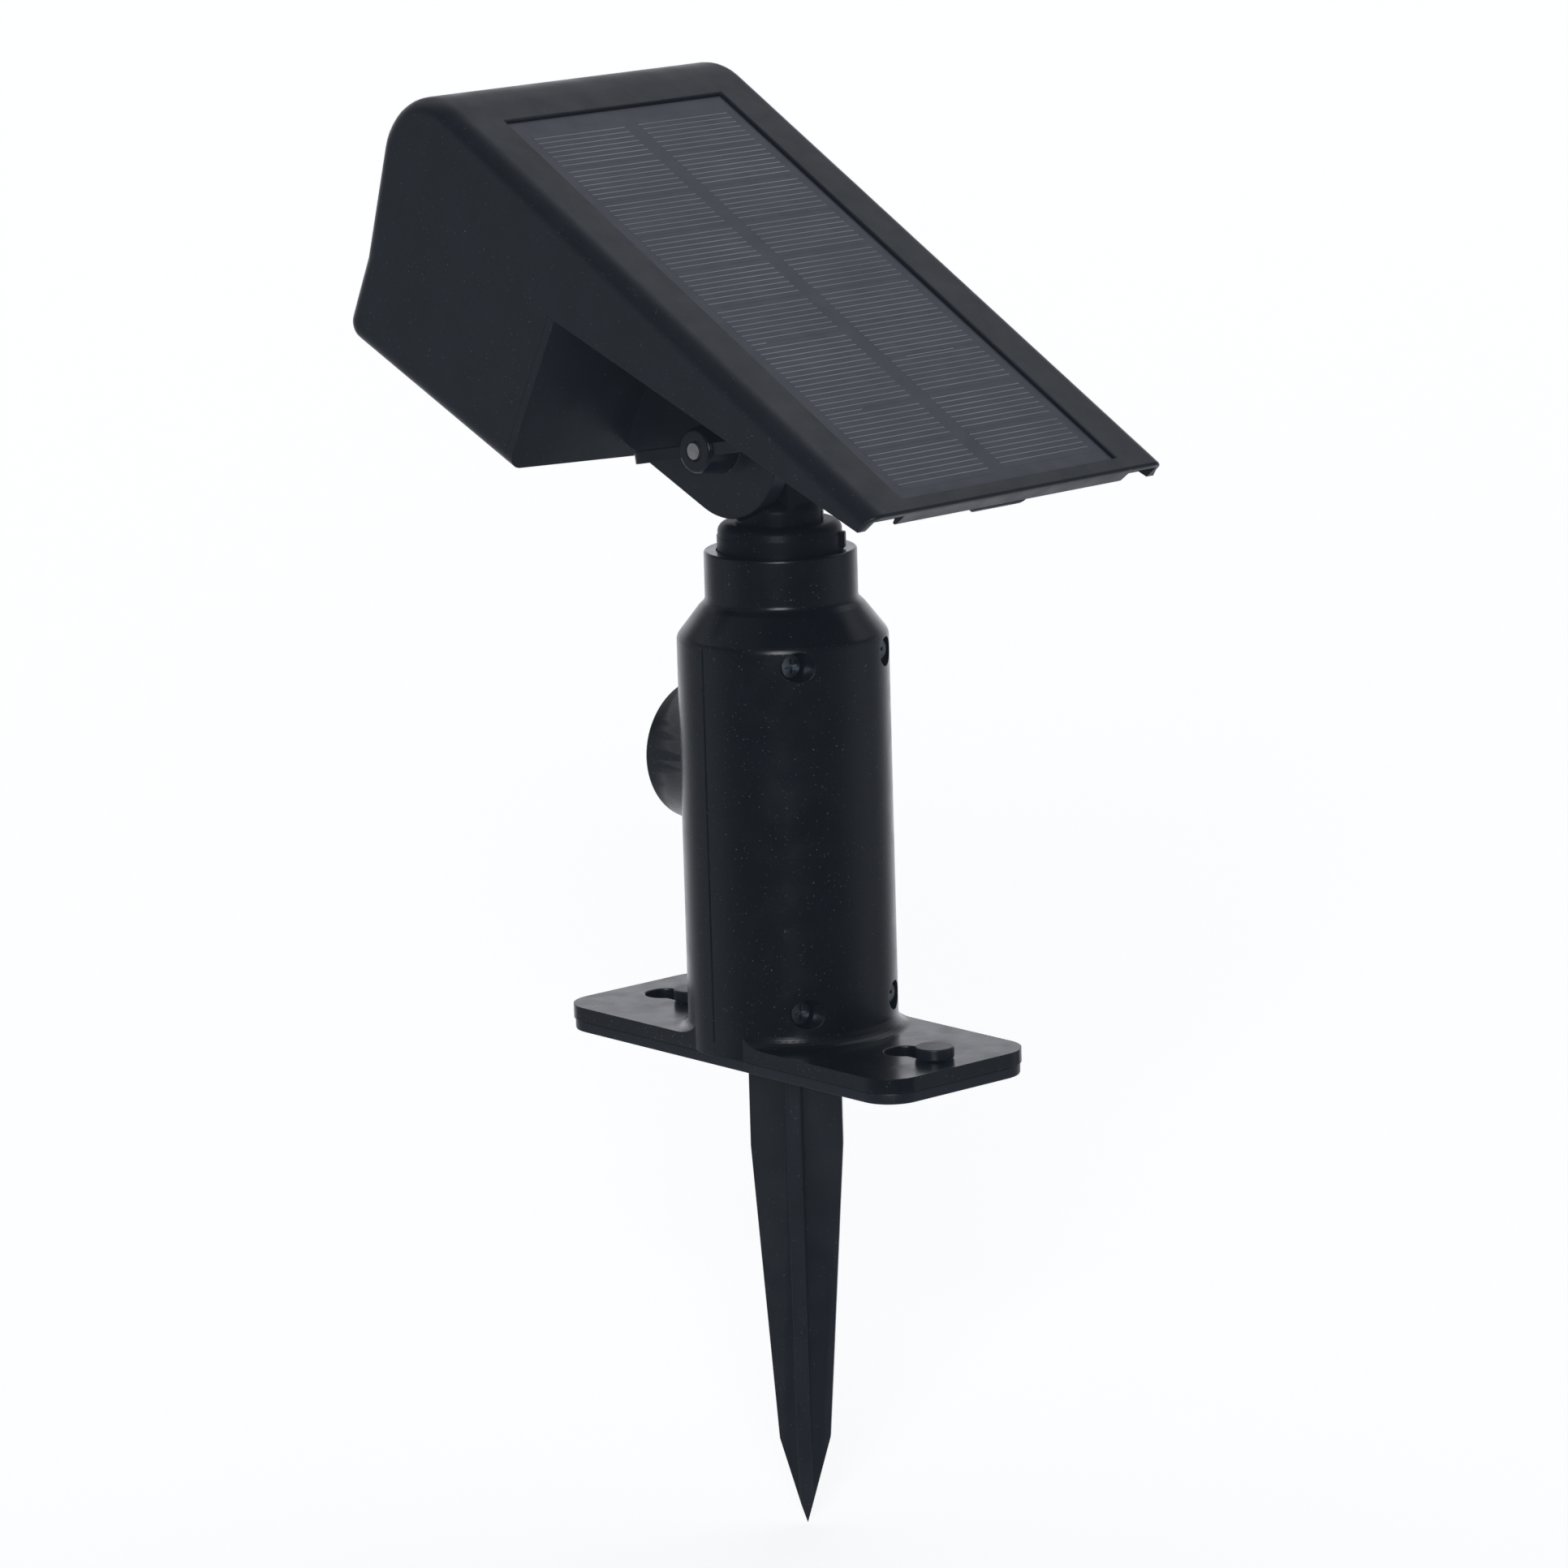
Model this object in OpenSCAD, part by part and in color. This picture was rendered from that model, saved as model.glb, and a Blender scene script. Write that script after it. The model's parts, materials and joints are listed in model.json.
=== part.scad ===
// Solar garden spotlight on a ground stake.
// Origin: post axis at ground level, on the underside of the stake plate. +Z is up.
// The light and the motion sensor face -Y, the wing nut is on the +X side.

/* [Stake] */
// Length of the spike below the stake plate
spike_len = 120; // [100:1:150]
// Width of the spike's crossed blades at the plate
spike_w = 22.5; // [18:0.5:28]
// Thickness of each spike blade
blade_t = 3.5; // [2.5:0.1:5]
// Thickness of the stake plate
plate_t = 2.7; // [2:0.1:4]
// Length of the stake plate and of the post's foot
foot_len = 121; // [118:1:140]
// Width of the stake plate and of the post's foot
foot_w = 48; // [42:0.5:49]
// Corner radius of the stake plate and of the post's foot
foot_corner_r = 9; // [4:0.5:14]
// Distance between the two locking pegs
peg_pitch = 88; // [86:0.5:92]
// Diameter of a peg's head
peg_head_d = 9.4; // [8:0.1:11]
// Height of a peg's head
peg_head_h = 2.8; // [1.5:0.1:4]
// Diameter of a peg's neck
peg_neck_d = 5; // [4:0.1:6.5]
// Slide from locked to free in the keyholes
keyhole_travel = 10.5; // [9:0.1:12]

/* [Post] */
// Outer diameter of the post
post_d = 51; // [49.5:0.5:56]
// Wall thickness of the post
post_wall = 2.8; // [2:0.1:3.4]
// Thickness of the post's foot
foot_t = 3.45; // [2.5:0.05:5]
// Height of the straight post above its foot
post_len = 97.6; // [90:0.1:130]
// Height of the sloping shoulder
shoulder_h = 8.1; // [7:0.1:10]
// Outer diameter of the collar
collar_d = 36.8; // [35.4:0.1:38]
// Height of the collar
collar_h = 11.6; // [9:0.1:16]
// Radius of the fillet between post and foot
foot_fillet_r = 3; // [2:0.5:6]
// Distance between the two rows of post screws
post_screw_gap = 27.6; // [26:0.2:29]
// Diameter of the wells over the post screws
screw_well_d = 7.1; // [6.6:0.1:9.4]

/* [Motion sensor] */
// Outer diameter of the sensor boss
boss_d = 35; // [32:0.5:36]
// Reach of the sensor boss in front of the post
boss_reach = 6.8; // [5:0.1:9]
// Height of the sensor's axis above the ground
boss_z = 70.7; // [50:0.1:74]
// Height of the sensor lens dome
dome_h = 5.5; // [3:0.1:6.5]

/* [Neck] */
// Diameter of the swivel neck
neck_d = 30.3; // [28:0.1:30.6]
// Reach of the neck above the collar
neck_reach = 6.8; // [5:0.1:8]
// Thickness of the neck's tongue
tongue_t = 11; // [9:0.1:12]
// Radius of the tongue round the hinge bolt
tongue_r = 14.5; // [10:0.1:15.5]

/* [Hinge] */
// Height of the hinge bolt above the collar
hinge_rise = 25.4; // [25:0.1:32]
// Distance of the hinge bolt in front of the post axis
hinge_y = 7; // [4:0.1:9]
// Radius of the head's hinge ears
ear_r = 17.7; // [16:0.1:18]
// Thickness of each hinge ear
ear_t = 5; // [4.2:0.1:6]
// Diameter of the hinge bolt
bolt_d = 4; // [3:0.1:5]
// Span of the wing nut
wing_span = 45; // [28:0.5:46]
// Length of the wing nut's hub
hub_len = 9; // [7:0.1:11]
// Turn of the wings from the panel's slope
wing_turn = 41; // [-90:1:90]

/* [Head] */
// Downward slope of the panel in this pose
head_tilt = 31; // [0:0.5:70]
// Turn of the head about the post in this pose
head_pan = 3; // [-160:0.5:160]
// Width of the head
head_w = 98.8; // [96:0.2:110]
// Wall thickness of the head shell
shell_wall = 2.5; // [2:0.1:3]
// Rounding of the head's long edges
edge_r = 4.5; // [3:0.1:5]
// Height of the top face above the hinge bolt
top_z = 42.5; // [41:0.1:48]
// Reach of the head in front of the hinge bolt
front_reach = 102.8; // [101:0.2:112]
// Reach of the head behind the hinge bolt
tail_reach = 77.3; // [76.6:0.1:90]
// Radius of the hood's front shoulder
hood_r = 17; // [12:0.5:19]
// Lean of the front face
front_lean = 15; // [12:0.5:18]
// Length of the front face under the shoulder
face_len = 28; // [26:0.1:31]
// Length of the flared lip under the front face
lip_len = 16.3; // [15:0.1:18]
// Flare of the lip out of the front face
lip_flare = 7.9; // [5:0.1:9]
// Slope of the lamp box's floor
floor_slope = 4.9; // [3:0.1:6]
// Distance of the lamp box's rear wall in front of the hinge bolt
box_back = 31; // [29:0.1:33]
// Depth of the side skirts at the lamp box
skirt_front = 22.4; // [21:0.1:24]
// Depth of the side skirts at the tail
skirt_tail = 5.8; // [5.6:0.1:7]

/* [Solar panel] */
// Length of the panel window
window_len = 151.7; // [146:0.1:152]
// Width of the panel window
window_w = 71.3; // [68:0.1:72]
// Distance of the panel window behind the hood's front
window_front = 23.6; // [23:0.1:26]
// Depth of the panel under the rim
panel_sink = 0.8; // [0.4:0.1:1]
// Number of cells in each of the two columns
cell_rows = 10; // [6:1:12]
// Gap between the two columns of cells
cell_column_gap = 4.2; // [2:0.1:8]

/* [Lamp] */
// Width of the lamp opening
lamp_w = 86; // [80:0.5:86]
// Height of the lamp opening
lamp_h = 36; // [32:0.5:42]
// Number of light emitters in a row
led_columns = 4; // [2:1:4]
// Number of rows of light emitters
led_rows = 2; // [1:1:2]
// Depth of the reflector cups
cup_depth = 13; // [9:0.5:14]
// Diameter of the battery cell
battery_d = 18.4; // [14:0.1:18.6]
// Length of the battery cell
battery_len = 65; // [50:0.5:66]
// Diameter of the mode button
button_d = 10; // [8:0.1:10.4]
// Travel of the mode button
button_travel = 1; // [0.5:0.1:1.2]

/* [Hidden] */
$fn = 64;

// Small sizes that every joint and seat shares
fit = 0.05;
gap = 0.15;
loose = 0.3;
far = 400;
shell_black = [0.10, 0.105, 0.12];
deep_black = [0.06, 0.062, 0.075];
steel = [0.72, 0.72, 0.72];

// Heights up the post
foot_z = plate_t + gap;
foot_top = foot_z + foot_t;
shoulder_z = foot_top + post_len;
collar_z = shoulder_z + shoulder_h;
collar_top = collar_z + collar_h;
hinge_z = collar_top + hinge_rise;
post_r = post_d / 2;
bore_r = post_r - post_wall;
collar_r = collar_d / 2;

// The neck turns in the collar on a flange between a lip and a washer
neck_r = neck_d / 2;
neck_top = collar_top + neck_reach;
neck_flange_r = neck_r + 2.3;
lip_z = collar_z - 2;
neck_flange_t = 2.2;
neck_flange_z = lip_z - 0.2 - neck_flange_t;
washer_t = 1.2;
ledge_t = 3;
ledge_z = neck_flange_z - 0.2 - washer_t;
ledge_r = neck_r - 3;
washer_r = neck_flange_r;

// Post screws: two rows, low and high
screw_d = 3;
screw_head_d = 5.6;
screw_head_h = 2.2;
screw_head_sink = 3;
screw_grip = 9;
screw_seat_y = sqrt(post_r * post_r - post_screw_gap * post_screw_gap / 4) - screw_head_sink - screw_head_h;
screw_len = screw_seat_y + screw_grip;
screw_rows = [foot_top + 8.3, shoulder_z - 4.9];
well_wall = 1.4;
screw_boss_wall = 2.2;
seam_w = 0.5;

// Pegs and keyholes
peg_offset = 6.5;
keyhole_neck = peg_neck_d + 2 * loose;
keyhole_entry = peg_head_d + 2 * loose;
peg_lift = 0.2;

// Spike stations
spike_straight = 23.5;
spike_shank_share = 0.815;
spike_low_w = spike_w * 0.555;
blade_turns = [45, 135];

// Sensor stack, from the boss's front rim inwards along +Y
boss_r = boss_d / 2;
boss_front = -post_r - boss_reach;
boss_wall = 2.2;
boss_bore_r = boss_r - boss_wall;
boss_edge_r = 1.2;
sensor_sink = 1.2;
lens_flange_t = 1.2;
lens_wall = 0.9;
lens_flange_w = 2.2;
dome_r = boss_bore_r - lens_flange_w;
spacer_lap = 0.6;
board_t = 1.6;
sensor_can_d = 9.2;
sensor_can_h = 4.4;
sensor_board_y = boss_front + 9.8;
sensor_ledge_t = 2.4;
sensor_ledge_w = 3;
sensor_seat_r = boss_bore_r - gap;

// Neck above the collar
shaft_top = neck_top - 2.9;
dome_r_low = neck_r * 0.7;
dome_z = neck_top + 2.8;
dome_rise = 4.4;
lug_turn = 122;
lug_w = 2.2;
lug_reach = 0.9;

// Hinge stack along X
tongue_face = tongue_t / 2;
ear_in = tongue_face + loose;
ear_out = ear_in + ear_t;
ear_root_a = 52;
ear_slot_x = ear_out + loose;
ear_slot_r = ear_r + 2 * loose;
hinge_washer_t = 1;
hub_x = ear_out + hinge_washer_t + fit;
bolt_end = hub_x + hub_len + 0.3;
bolt_r = bolt_d / 2;
bolt_head_h = 2.8;
bolt_head_r = 4.04;
hub_r = 5.3;
hub_foot_r = 6.6;
wing_t = 3;
wing_root = 1;
wing_neck = 1.5;
wing_low = 2.4;
wing_flare = 0.5;
wing_tip_len = 4;
insert_end = 2;
insert_r = 3.2;

// Head outline, in the head's own frame: origin on the hinge bolt, +Y to the tail, +Z out of the panel
half_w = head_w / 2;
inner_half = half_w - shell_wall;
top_t = 2.2;
hood_y = hood_r - front_reach;
face_a = 90 + front_lean;
lip_a = face_a - lip_flare;
floor_a = 180 + floor_slope;
chin_r = edge_r + 0.5;
edge_steps = 6;
box_top_z = top_z - skirt_front;
skirt_end_z = top_z - skirt_tail;
skirt_end_y = tail_reach - 2.3;
tail_r = 0.6;
tail_lean = atan((tail_reach - skirt_end_y) / skirt_tail);
tail_c = [tail_reach - tail_r * (1 + sin(tail_lean)) / cos(tail_lean), top_z - tail_r];
tail_top = tail_c + [0, tail_r];
tail_steps = 4;
tail_shrink = 0.85;
tail_in = 2;
skirt_slope = (skirt_end_z - box_top_z) / (skirt_end_y + box_back);
back_tan = tan(floor_slope);
// Rim round the lamp opening that the lens seats on; the lip runs at least as far down as the lens behind it
lamp_rim = 3;
lens_h = lamp_h + 2 * lamp_rim;
lip_run = max(lip_len, lens_h + loose - face_len);

// Outward normal and walking direction at each turn of the outline, and heights along it
function normal(a) = [-sin(a), cos(a)];
function along(a) = [-cos(a), -sin(a)];
function skirt_z(y) = box_top_z + skirt_slope * (y + box_back);
function back_y(z) = -box_back + back_tan * (box_top_z - z);
hood_c = [hood_y, top_z - hood_r];
face_p = hood_c + hood_r * normal(face_a);
kink_p = face_p + face_len * along(face_a);
chin_p = kink_p + lip_run * along(lip_a);
chin_c = chin_p - chin_r * normal(lip_a);
floor_p = chin_c + chin_r * normal(floor_a);
// The floor runs back to the rear wall, which is square to it
floor_len = (back_y(floor_p[1]) - floor_p[0]) * cos(floor_slope);
heel_p = floor_p + floor_len * along(floor_a);
// Inner face of the floor
function floor_z(y) = floor_p[1] + (y - floor_p[0]) * tan(floor_slope) + shell_wall / cos(floor_slope);

// Each entry of the outline is a point and the way that the edge rounding draws it in
function drawn_arc(c, r, a0, a1, steps) =
    [for (i = [0:steps]) let (a = a0 + (a1 - a0) * i / steps) [c + r * normal(a), -normal(a)]];
head_outline = concat(
    [for (i = [0:tail_steps]) let (p = tail_c + tail_r * normal((i / tail_steps - 1) * (90 + tail_lean)))
        [p, [-tail_in / edge_r, -1] - tail_shrink / edge_r * (p - tail_top)]],
    drawn_arc(hood_c, hood_r, 0, face_a, 14),
    [[kink_p, -normal((face_a + lip_a) / 2)]],
    drawn_arc(chin_c, chin_r, lip_a, floor_a, 8),
    [[heel_p, -normal(floor_a)], [[back_y(box_top_z), box_top_z], [0, 0]],
        [[skirt_end_y, skirt_end_z], [0, 0]]]);
// Place across and draw of each section through the rounded edge
function edge_place(i, side) = let (t = 90 * i / edge_steps)
    [side * (half_w - edge_r + edge_r * sin(t)), edge_r * (1 - cos(t))];

// Panel stack under the rim
window_y = window_front - front_reach;
window_end = window_y + window_len;
film_t = 0.4;
cell_t = 0.2;
panel_plate_t = 1.4;
pocket_depth = panel_sink + film_t + cell_t + panel_plate_t;
pocket_floor_t = 1.4;
pocket_ledge = 5;
pocket_rim = 2;
panel_len = window_len - 2 * gap;
panel_w = window_w - 2 * gap;
cell_margin_y = 4.7;
cell_margin_x = 3.6;
cell_pitch = (panel_len - 2 * cell_margin_y) / cell_rows;
cell_len = cell_pitch - 1.2;
cell_w = (panel_w - 2 * cell_margin_x - cell_column_gap) / 2;

// Base cover: slab under the panel, rear wall of the lamp box and the two ears
cover_t = 1.6;
cover_lift = 0.1;
cover_wall = 2.2;
cover_half = inner_half - gap;
wall_h = (box_top_z - heel_p[1]) / cos(floor_slope);
wall_bow = 2.8;
tail_bar_w = 75;
tail_bar_drop = skirt_tail - 0.2;
tail_bar_t = 3.3;
tail_lip_t = 1.8;
tail_tab_w = 19;
tail_tab_t = 1.5;
tail_tab_x = 3;
tail_tab_root = 3;
cover_slope = atan(skirt_slope);
cover_screw_x = (window_w / 2 + pocket_rim + inner_half) / 2;
cover_screw_y = [-20, 35];
cover_boss_r = 3.1;
cover_screw_len = 6;
cover_screw_head_h = 1.8;

// Lamp stack in the front frame: origin at the middle of the opening, +Z out of the lamp, +Y up the face
lamp_p = face_p + (lamp_h / 2 + lamp_rim) * along(face_a);
lamp_corner_r = 5;
lens_corner_r = 4;
lens_w = lamp_w + 2 * lamp_rim - 1;
seal_t = 1;
lens_t = 2.5;
seal_back = -shell_wall - seal_t;
lens_back = seal_back - lens_t;
cup_back = lens_back - cup_depth - 1;
led_board_back = cup_back - board_t;
cup_pitch_x = lamp_w / (led_columns + 0.3);
cup_pitch_y = lamp_h / (led_rows + 0.05);
cup_r = min(cup_pitch_x, cup_pitch_y) / 2 - 0.6;
cup_small_r = 3.9;
led_w = 5;
led_h = 1.2;

// Battery and its holder on the inner floor
battery_r = battery_d / 2;
battery_y = -54;
battery_x = -9;
holder_floor = 1.6;
holder_wall = 2.4;
contact_t = 0.8;
contact_w = 7;
holder_len = battery_len + 2 * (contact_t + gap) + 2 * holder_wall;
battery_cap_r = 3;
battery_cap_h = 1.2;

// Control board on the inside of the cover's rear wall
control_w = 62;
control_h = 24;
control_stand = 4;
control_z = 4;
part_pitch = 14;
part_rise = 4;
chip_w = 9;
chip_h = 6;
chip_t = 1.8;
coil_w = 6;
coil_t = 3;

// Mode button through the floor of the lamp box
button_x = 37;
button_y = -53;
button_r = button_d / 2;
button_hole_r = button_r + loose;
button_proud = 0.8;
button_flange_r = button_r + 1.5;
button_flange_t = 1.2;
button_lift = 0.1;
button_stem_r = 2.2;
button_stem_h = 4;
switch_w = 6;
switch_h = 3.5;
plunger_r = 1.7;
plunger_h = 1;
switch_post_r = 2.2;
switch_post_y = button_flange_r + loose + switch_post_r;
switch_board_z = button_stem_h + button_travel + 0.2 + plunger_h + switch_h;

// Points of an arc, for outlines that are turned or extruded
function arc(c, r, a0, a1, steps = 8) =
    [for (i = [0:steps]) c + r * [cos(a0 + (a1 - a0) * i / steps), sin(a0 + (a1 - a0) * i / steps)]];

module in_neck() {
    rotate([0, 0, head_pan]) children();
}

module in_head() {
    in_neck() translate([0, -hinge_y, hinge_z]) rotate([-head_tilt, 0, 0]) children();
}

module in_lamp() {
    translate([0, lamp_p[0], lamp_p[1]]) rotate([face_a, 0, 0]) children();
}

module on_floor(x, y) {
    translate([x, y, floor_z(y)]) rotate([floor_slope, 0, 0]) children();
}

// Rear wall of the lamp box: origin on its upper edge, +Y up the wall, +Z into the lamp box
module in_wall() {
    translate([0, back_y(box_top_z), box_top_z]) rotate([90 + floor_slope, 0, 0]) children();
}

module on_cover(x, y) {
    translate([x, y, skirt_z(y) + cover_lift]) rotate([cover_slope, 0, 0]) children();
}

// Extrudes an outline drawn in Y and Z across X, centred
module across(width) {
    translate([-width / 2, 0, 0]) rotate([90, 0, 90]) linear_extrude(width) children();
}

module along_x(r, x0, x1) {
    translate([x0, 0, 0]) rotate([0, 90, 0]) cylinder(r = r, h = x1 - x0);
}

module along_y(r, y0, y1) {
    translate([0, y0, 0]) rotate([-90, 0, 0]) cylinder(r = r, h = y1 - y0);
}

module round_rect(w, l, r) {
    union() {
        square([w - 2 * r, l], center = true);
        square([w, l - 2 * r], center = true);
        for (x = [-1, 1], y = [-1, 1])
            translate([x * (w / 2 - r), y * (l / 2 - r)]) circle(r);
    }
}

module slot(d, y0, y1) {
    union() {
        translate([0, y0]) circle(d = d);
        translate([0, y1]) circle(d = d);
        translate([-d / 2, y0]) square([d, y1 - y0]);
    }
}

// Screw along +Z with its head's underside at z = 0 and its point up
module screw(length, d, head_d, head_h) {
    cylinder(d = d, h = length);
    difference() {
        translate([0, 0, -head_h]) cylinder(d = head_d, h = head_h);
        for (a = [0, 90])
            rotate([0, 0, a]) translate([-head_d * 0.32, -0.4, -head_h - 1]) cube([head_d * 0.64, 0.8, 2]);
    }
}

// Ground stake: plate, crossed blades and two mushroom pegs
module blade_outline() {
    shank_z = -spike_len * spike_shank_share;
    polygon([[-spike_w / 2, 0], [spike_w / 2, 0], [spike_w / 2, -spike_straight], [spike_low_w / 2, shank_z],
        [0, -spike_len], [-spike_low_w / 2, shank_z], [-spike_w / 2, -spike_straight]]);
}

// One blade of the spike. The other blade's outline, drawn wide, also sharpens its thickness at the tip
module blade(turn, t) {
    rotate([90, 0, turn]) translate([0, 0, -t / 2]) linear_extrude(t) blade_outline();
}

module ground_stake() {
    color(shell_black) union() {
        linear_extrude(plate_t) round_rect(foot_w - 0.8, foot_len - 0.8, foot_corner_r - 0.4);
        intersection() {
            for (a = blade_turns) blade(a, blade_t);
            blade(blade_turns[0], 2 * spike_w);
            blade(blade_turns[1], 2 * spike_w);
        }
        for (side = [-1, 1]) translate([0, side * peg_pitch / 2 + peg_offset, 0]) {
            cylinder(d = peg_neck_d, h = foot_top + peg_lift + peg_head_h / 2);
            translate([0, 0, foot_top + peg_lift]) cylinder(d = peg_head_d, h = peg_head_h);
        }
    }
}

// Post, split lengthwise into two halves that screw together
module post_skin() {
    rotate_extrude() polygon(concat(
        [[0, foot_z], [post_r, foot_z]],
        arc([post_r - 3, shoulder_z - 1.9], 3, 0, 40, 5),
        [[collar_r + 1.6, collar_z - 1.9]],
        arc([collar_r + 2, collar_z + 0.5], 2, 230, 180, 5),
        arc([collar_r - 0.6, collar_top - 0.6], 0.6, 0, 90, 3),
        [[0, collar_top]]));
}

module post_foot() {
    translate([0, 0, foot_z]) linear_extrude(foot_t) round_rect(foot_w, foot_len, foot_corner_r);
    intersection() {
        translate([0, 0, foot_z]) linear_extrude(foot_t + foot_fillet_r)
            round_rect(foot_w, foot_len, foot_corner_r);
        rotate_extrude() polygon(concat([[bore_r, foot_z], [post_r + foot_fillet_r, foot_z]],
            arc([post_r + foot_fillet_r, foot_top + foot_fillet_r], foot_fillet_r, 270, 180, 6),
            [[bore_r, foot_top + foot_fillet_r]]));
    }
}

module post_hollow() {
    translate([0, 0, foot_z - 1]) cylinder(r = bore_r, h = ledge_z - ledge_t - foot_z + 1);
    cylinder(r = ledge_r, h = lip_z);
    translate([0, 0, ledge_z]) cylinder(r = neck_flange_r + loose, h = lip_z - ledge_z);
    translate([0, 0, ledge_z]) cylinder(r = neck_r + loose, h = collar_top);
}

module keyholes() {
    for (side = [-1, 1]) translate([0, side * peg_pitch / 2 + peg_offset, foot_z - 1]) {
        linear_extrude(foot_t + 2) slot(keyhole_neck, -keyhole_travel, 0);
        translate([0, -keyhole_travel, 0]) cylinder(d = keyhole_entry, h = foot_t + 2);
    }
}

module seam_groove() {
    for (x = [-post_r, post_r]) translate([x, 0, foot_top])
        rotate([0, 0, 45]) translate([-seam_w / 2, -seam_w / 2, 0]) cube([seam_w, seam_w, post_len]);
}

// Round limit in the middle of the post's wall, where what stands inside the post ends
module inside_wall() {
    cylinder(r = post_r - post_wall / 2, h = collar_z);
}

module at_post_screws() {
    for (x = [-1, 1], z = screw_rows) translate([x * post_screw_gap / 2, 0, z]) children();
}

module post_half(side) {
    intersection() {
        difference() {
            union() {
                post_skin();
                post_foot();
            }
            post_hollow();
            keyholes();
            seam_groove();
        }
        translate([-far / 2, side > 0 ? 0 : -far / 2, 0]) cube([far, far / 2, far]);
    }
}

// Half of the post on the tail side, with the screw wells
module post_rear_half() {
    color(shell_black) difference() {
        union() {
            post_half(1);
            intersection() {
                at_post_screws() along_y(screw_well_d / 2 + well_wall, 0, post_r);
                inside_wall();
            }
        }
        at_post_screws() along_y(screw_well_d / 2, screw_seat_y, post_r + 1);
        at_post_screws() along_y(screw_d / 2 + gap, -1, screw_seat_y + 1);
    }
}

module at_sensor() {
    translate([0, 0, boss_z]) children();
}

module boss_outside() {
    translate([0, boss_front, 0]) rotate([-90, 0, 0]) rotate_extrude() polygon(concat(
        [[0, 0]], arc([boss_r - boss_edge_r, boss_edge_r], boss_edge_r, -90, 0, 4),
        [[boss_r, -boss_front], [0, -boss_front]]));
}

// Half of the post on the light's side, with the sensor boss
module post_front_half() {
    ledge_back = sensor_board_y + sensor_ledge_t;
    color(shell_black) difference() {
        union() {
            post_half(-1);
            intersection() {
                at_post_screws() along_y(screw_d / 2 + screw_boss_wall, -post_r, 0);
                inside_wall();
            }
            difference() {
                at_sensor() boss_outside();
                intersection() {
                    translate([0, 0, boss_z - boss_d]) cylinder(r = bore_r + 0.5, h = 2 * boss_d);
                    translate([-far / 2, ledge_back, 0]) cube([far, far, far]);
                }
            }
        }
        at_sensor() along_y(boss_bore_r, boss_front - 1, sensor_board_y);
        at_sensor() along_y(boss_bore_r - sensor_ledge_w, boss_front - 1, 0);
        at_post_screws() along_y(screw_d / 2 + fit, screw_seat_y - screw_len - 1, 1);
    }
}

module post_screws() {
    color(steel) at_post_screws() translate([0, screw_seat_y, 0]) rotate([90, 0, 0])
        screw(screw_len, screw_d, screw_head_d, screw_head_h);
}

// Motion sensor: domed lens, spacer ring, board and the sensing can
module sensor_lens() {
    dome_ball = (dome_r * dome_r + dome_h * dome_h) / (2 * dome_h);
    dome_half = asin(dome_r / dome_ball);
    color([0.16, 0.16, 0.18, 0.9]) at_sensor() translate([0, boss_front + sensor_sink, 0]) rotate([-90, 0, 0])
        rotate_extrude() polygon(concat(
            [[dome_r - lens_wall, lens_flange_t], [sensor_seat_r, lens_flange_t], [sensor_seat_r, 0]],
            arc([0, dome_ball - dome_h], dome_ball, dome_half - 90, -90, 10),
            arc([0, dome_ball - dome_h], dome_ball - lens_wall, -90, dome_half - 91, 10)));
}

module sensor_spacer() {
    color(deep_black) at_sensor() difference() {
        along_y(sensor_seat_r, boss_front + sensor_sink + lens_flange_t, sensor_board_y - board_t);
        along_y(dome_r - spacer_lap, boss_front, 0);
    }
}

module sensor_board() {
    color("darkgreen") at_sensor() along_y(sensor_seat_r, sensor_board_y - board_t, sensor_board_y);
}

module sensor_element() {
    face_y = sensor_board_y - board_t;
    color(steel) at_sensor() {
        along_y(sensor_can_d / 2, face_y - sensor_can_h, face_y);
        along_y(sensor_can_d / 2 + 0.5, face_y - 0.6, face_y);
    }
}

// Rubber washer that the neck's flange turns on
module swivel_washer() {
    color([0.05, 0.05, 0.05]) translate([0, 0, ledge_z]) difference() {
        cylinder(r = washer_r, h = washer_t);
        translate([0, 0, -1]) cylinder(r = ledge_r, h = washer_t + 2);
    }
}

// Swivel neck: flange, turning shaft, dome with the ear slots, stop lug and the hinge tongue
module swivel_neck() {
    color(deep_black) in_neck() difference() {
        union() {
            rotate_extrude() polygon(concat(
                [[0, neck_flange_z], [neck_flange_r, neck_flange_z], [neck_flange_r, lip_z - 0.2],
                    [neck_r, lip_z - 0.2], [neck_r, shaft_top - 0.4], [neck_r - 0.25, shaft_top]],
                arc([neck_r - 2.6, neck_top - 2.4], 2.4, 10, 90, 5),
                [[dome_r_low, neck_top]],
                [for (i = [0:8]) [dome_r_low * cos(i * 90 / 8), dome_z + dome_rise * sin(i * 90 / 8)]]));
            translate([0, -hinge_y, hinge_z]) across(tongue_t) union() {
                circle(tongue_r);
                polygon([[-tongue_r, 0], [tongue_r, 0], [hinge_y + dome_r_low - 1, neck_top - 1 - hinge_z],
                    [hinge_y - dome_r_low * 0.7, neck_top - 1 - hinge_z]]);
            }
            rotate([0, 0, lug_turn]) translate([neck_r - lug_w, -lug_w / 2, collar_top + loose])
                cube([lug_w + lug_reach, lug_w, shaft_top - collar_top]);
        }
        translate([0, 0, neck_flange_z - 1]) cylinder(r = neck_r - 4, h = shaft_top - neck_flange_z - 3);
        translate([0, -hinge_y, hinge_z]) {
            along_x(bolt_r + 0.08, -tongue_t, tongue_t);
            // Slots that the head's ears turn in
            for (x0 = [-ear_slot_x, tongue_face]) along_x(ear_slot_r, x0, x0 + ear_slot_x - tongue_face);
        }
    }
}

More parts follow.
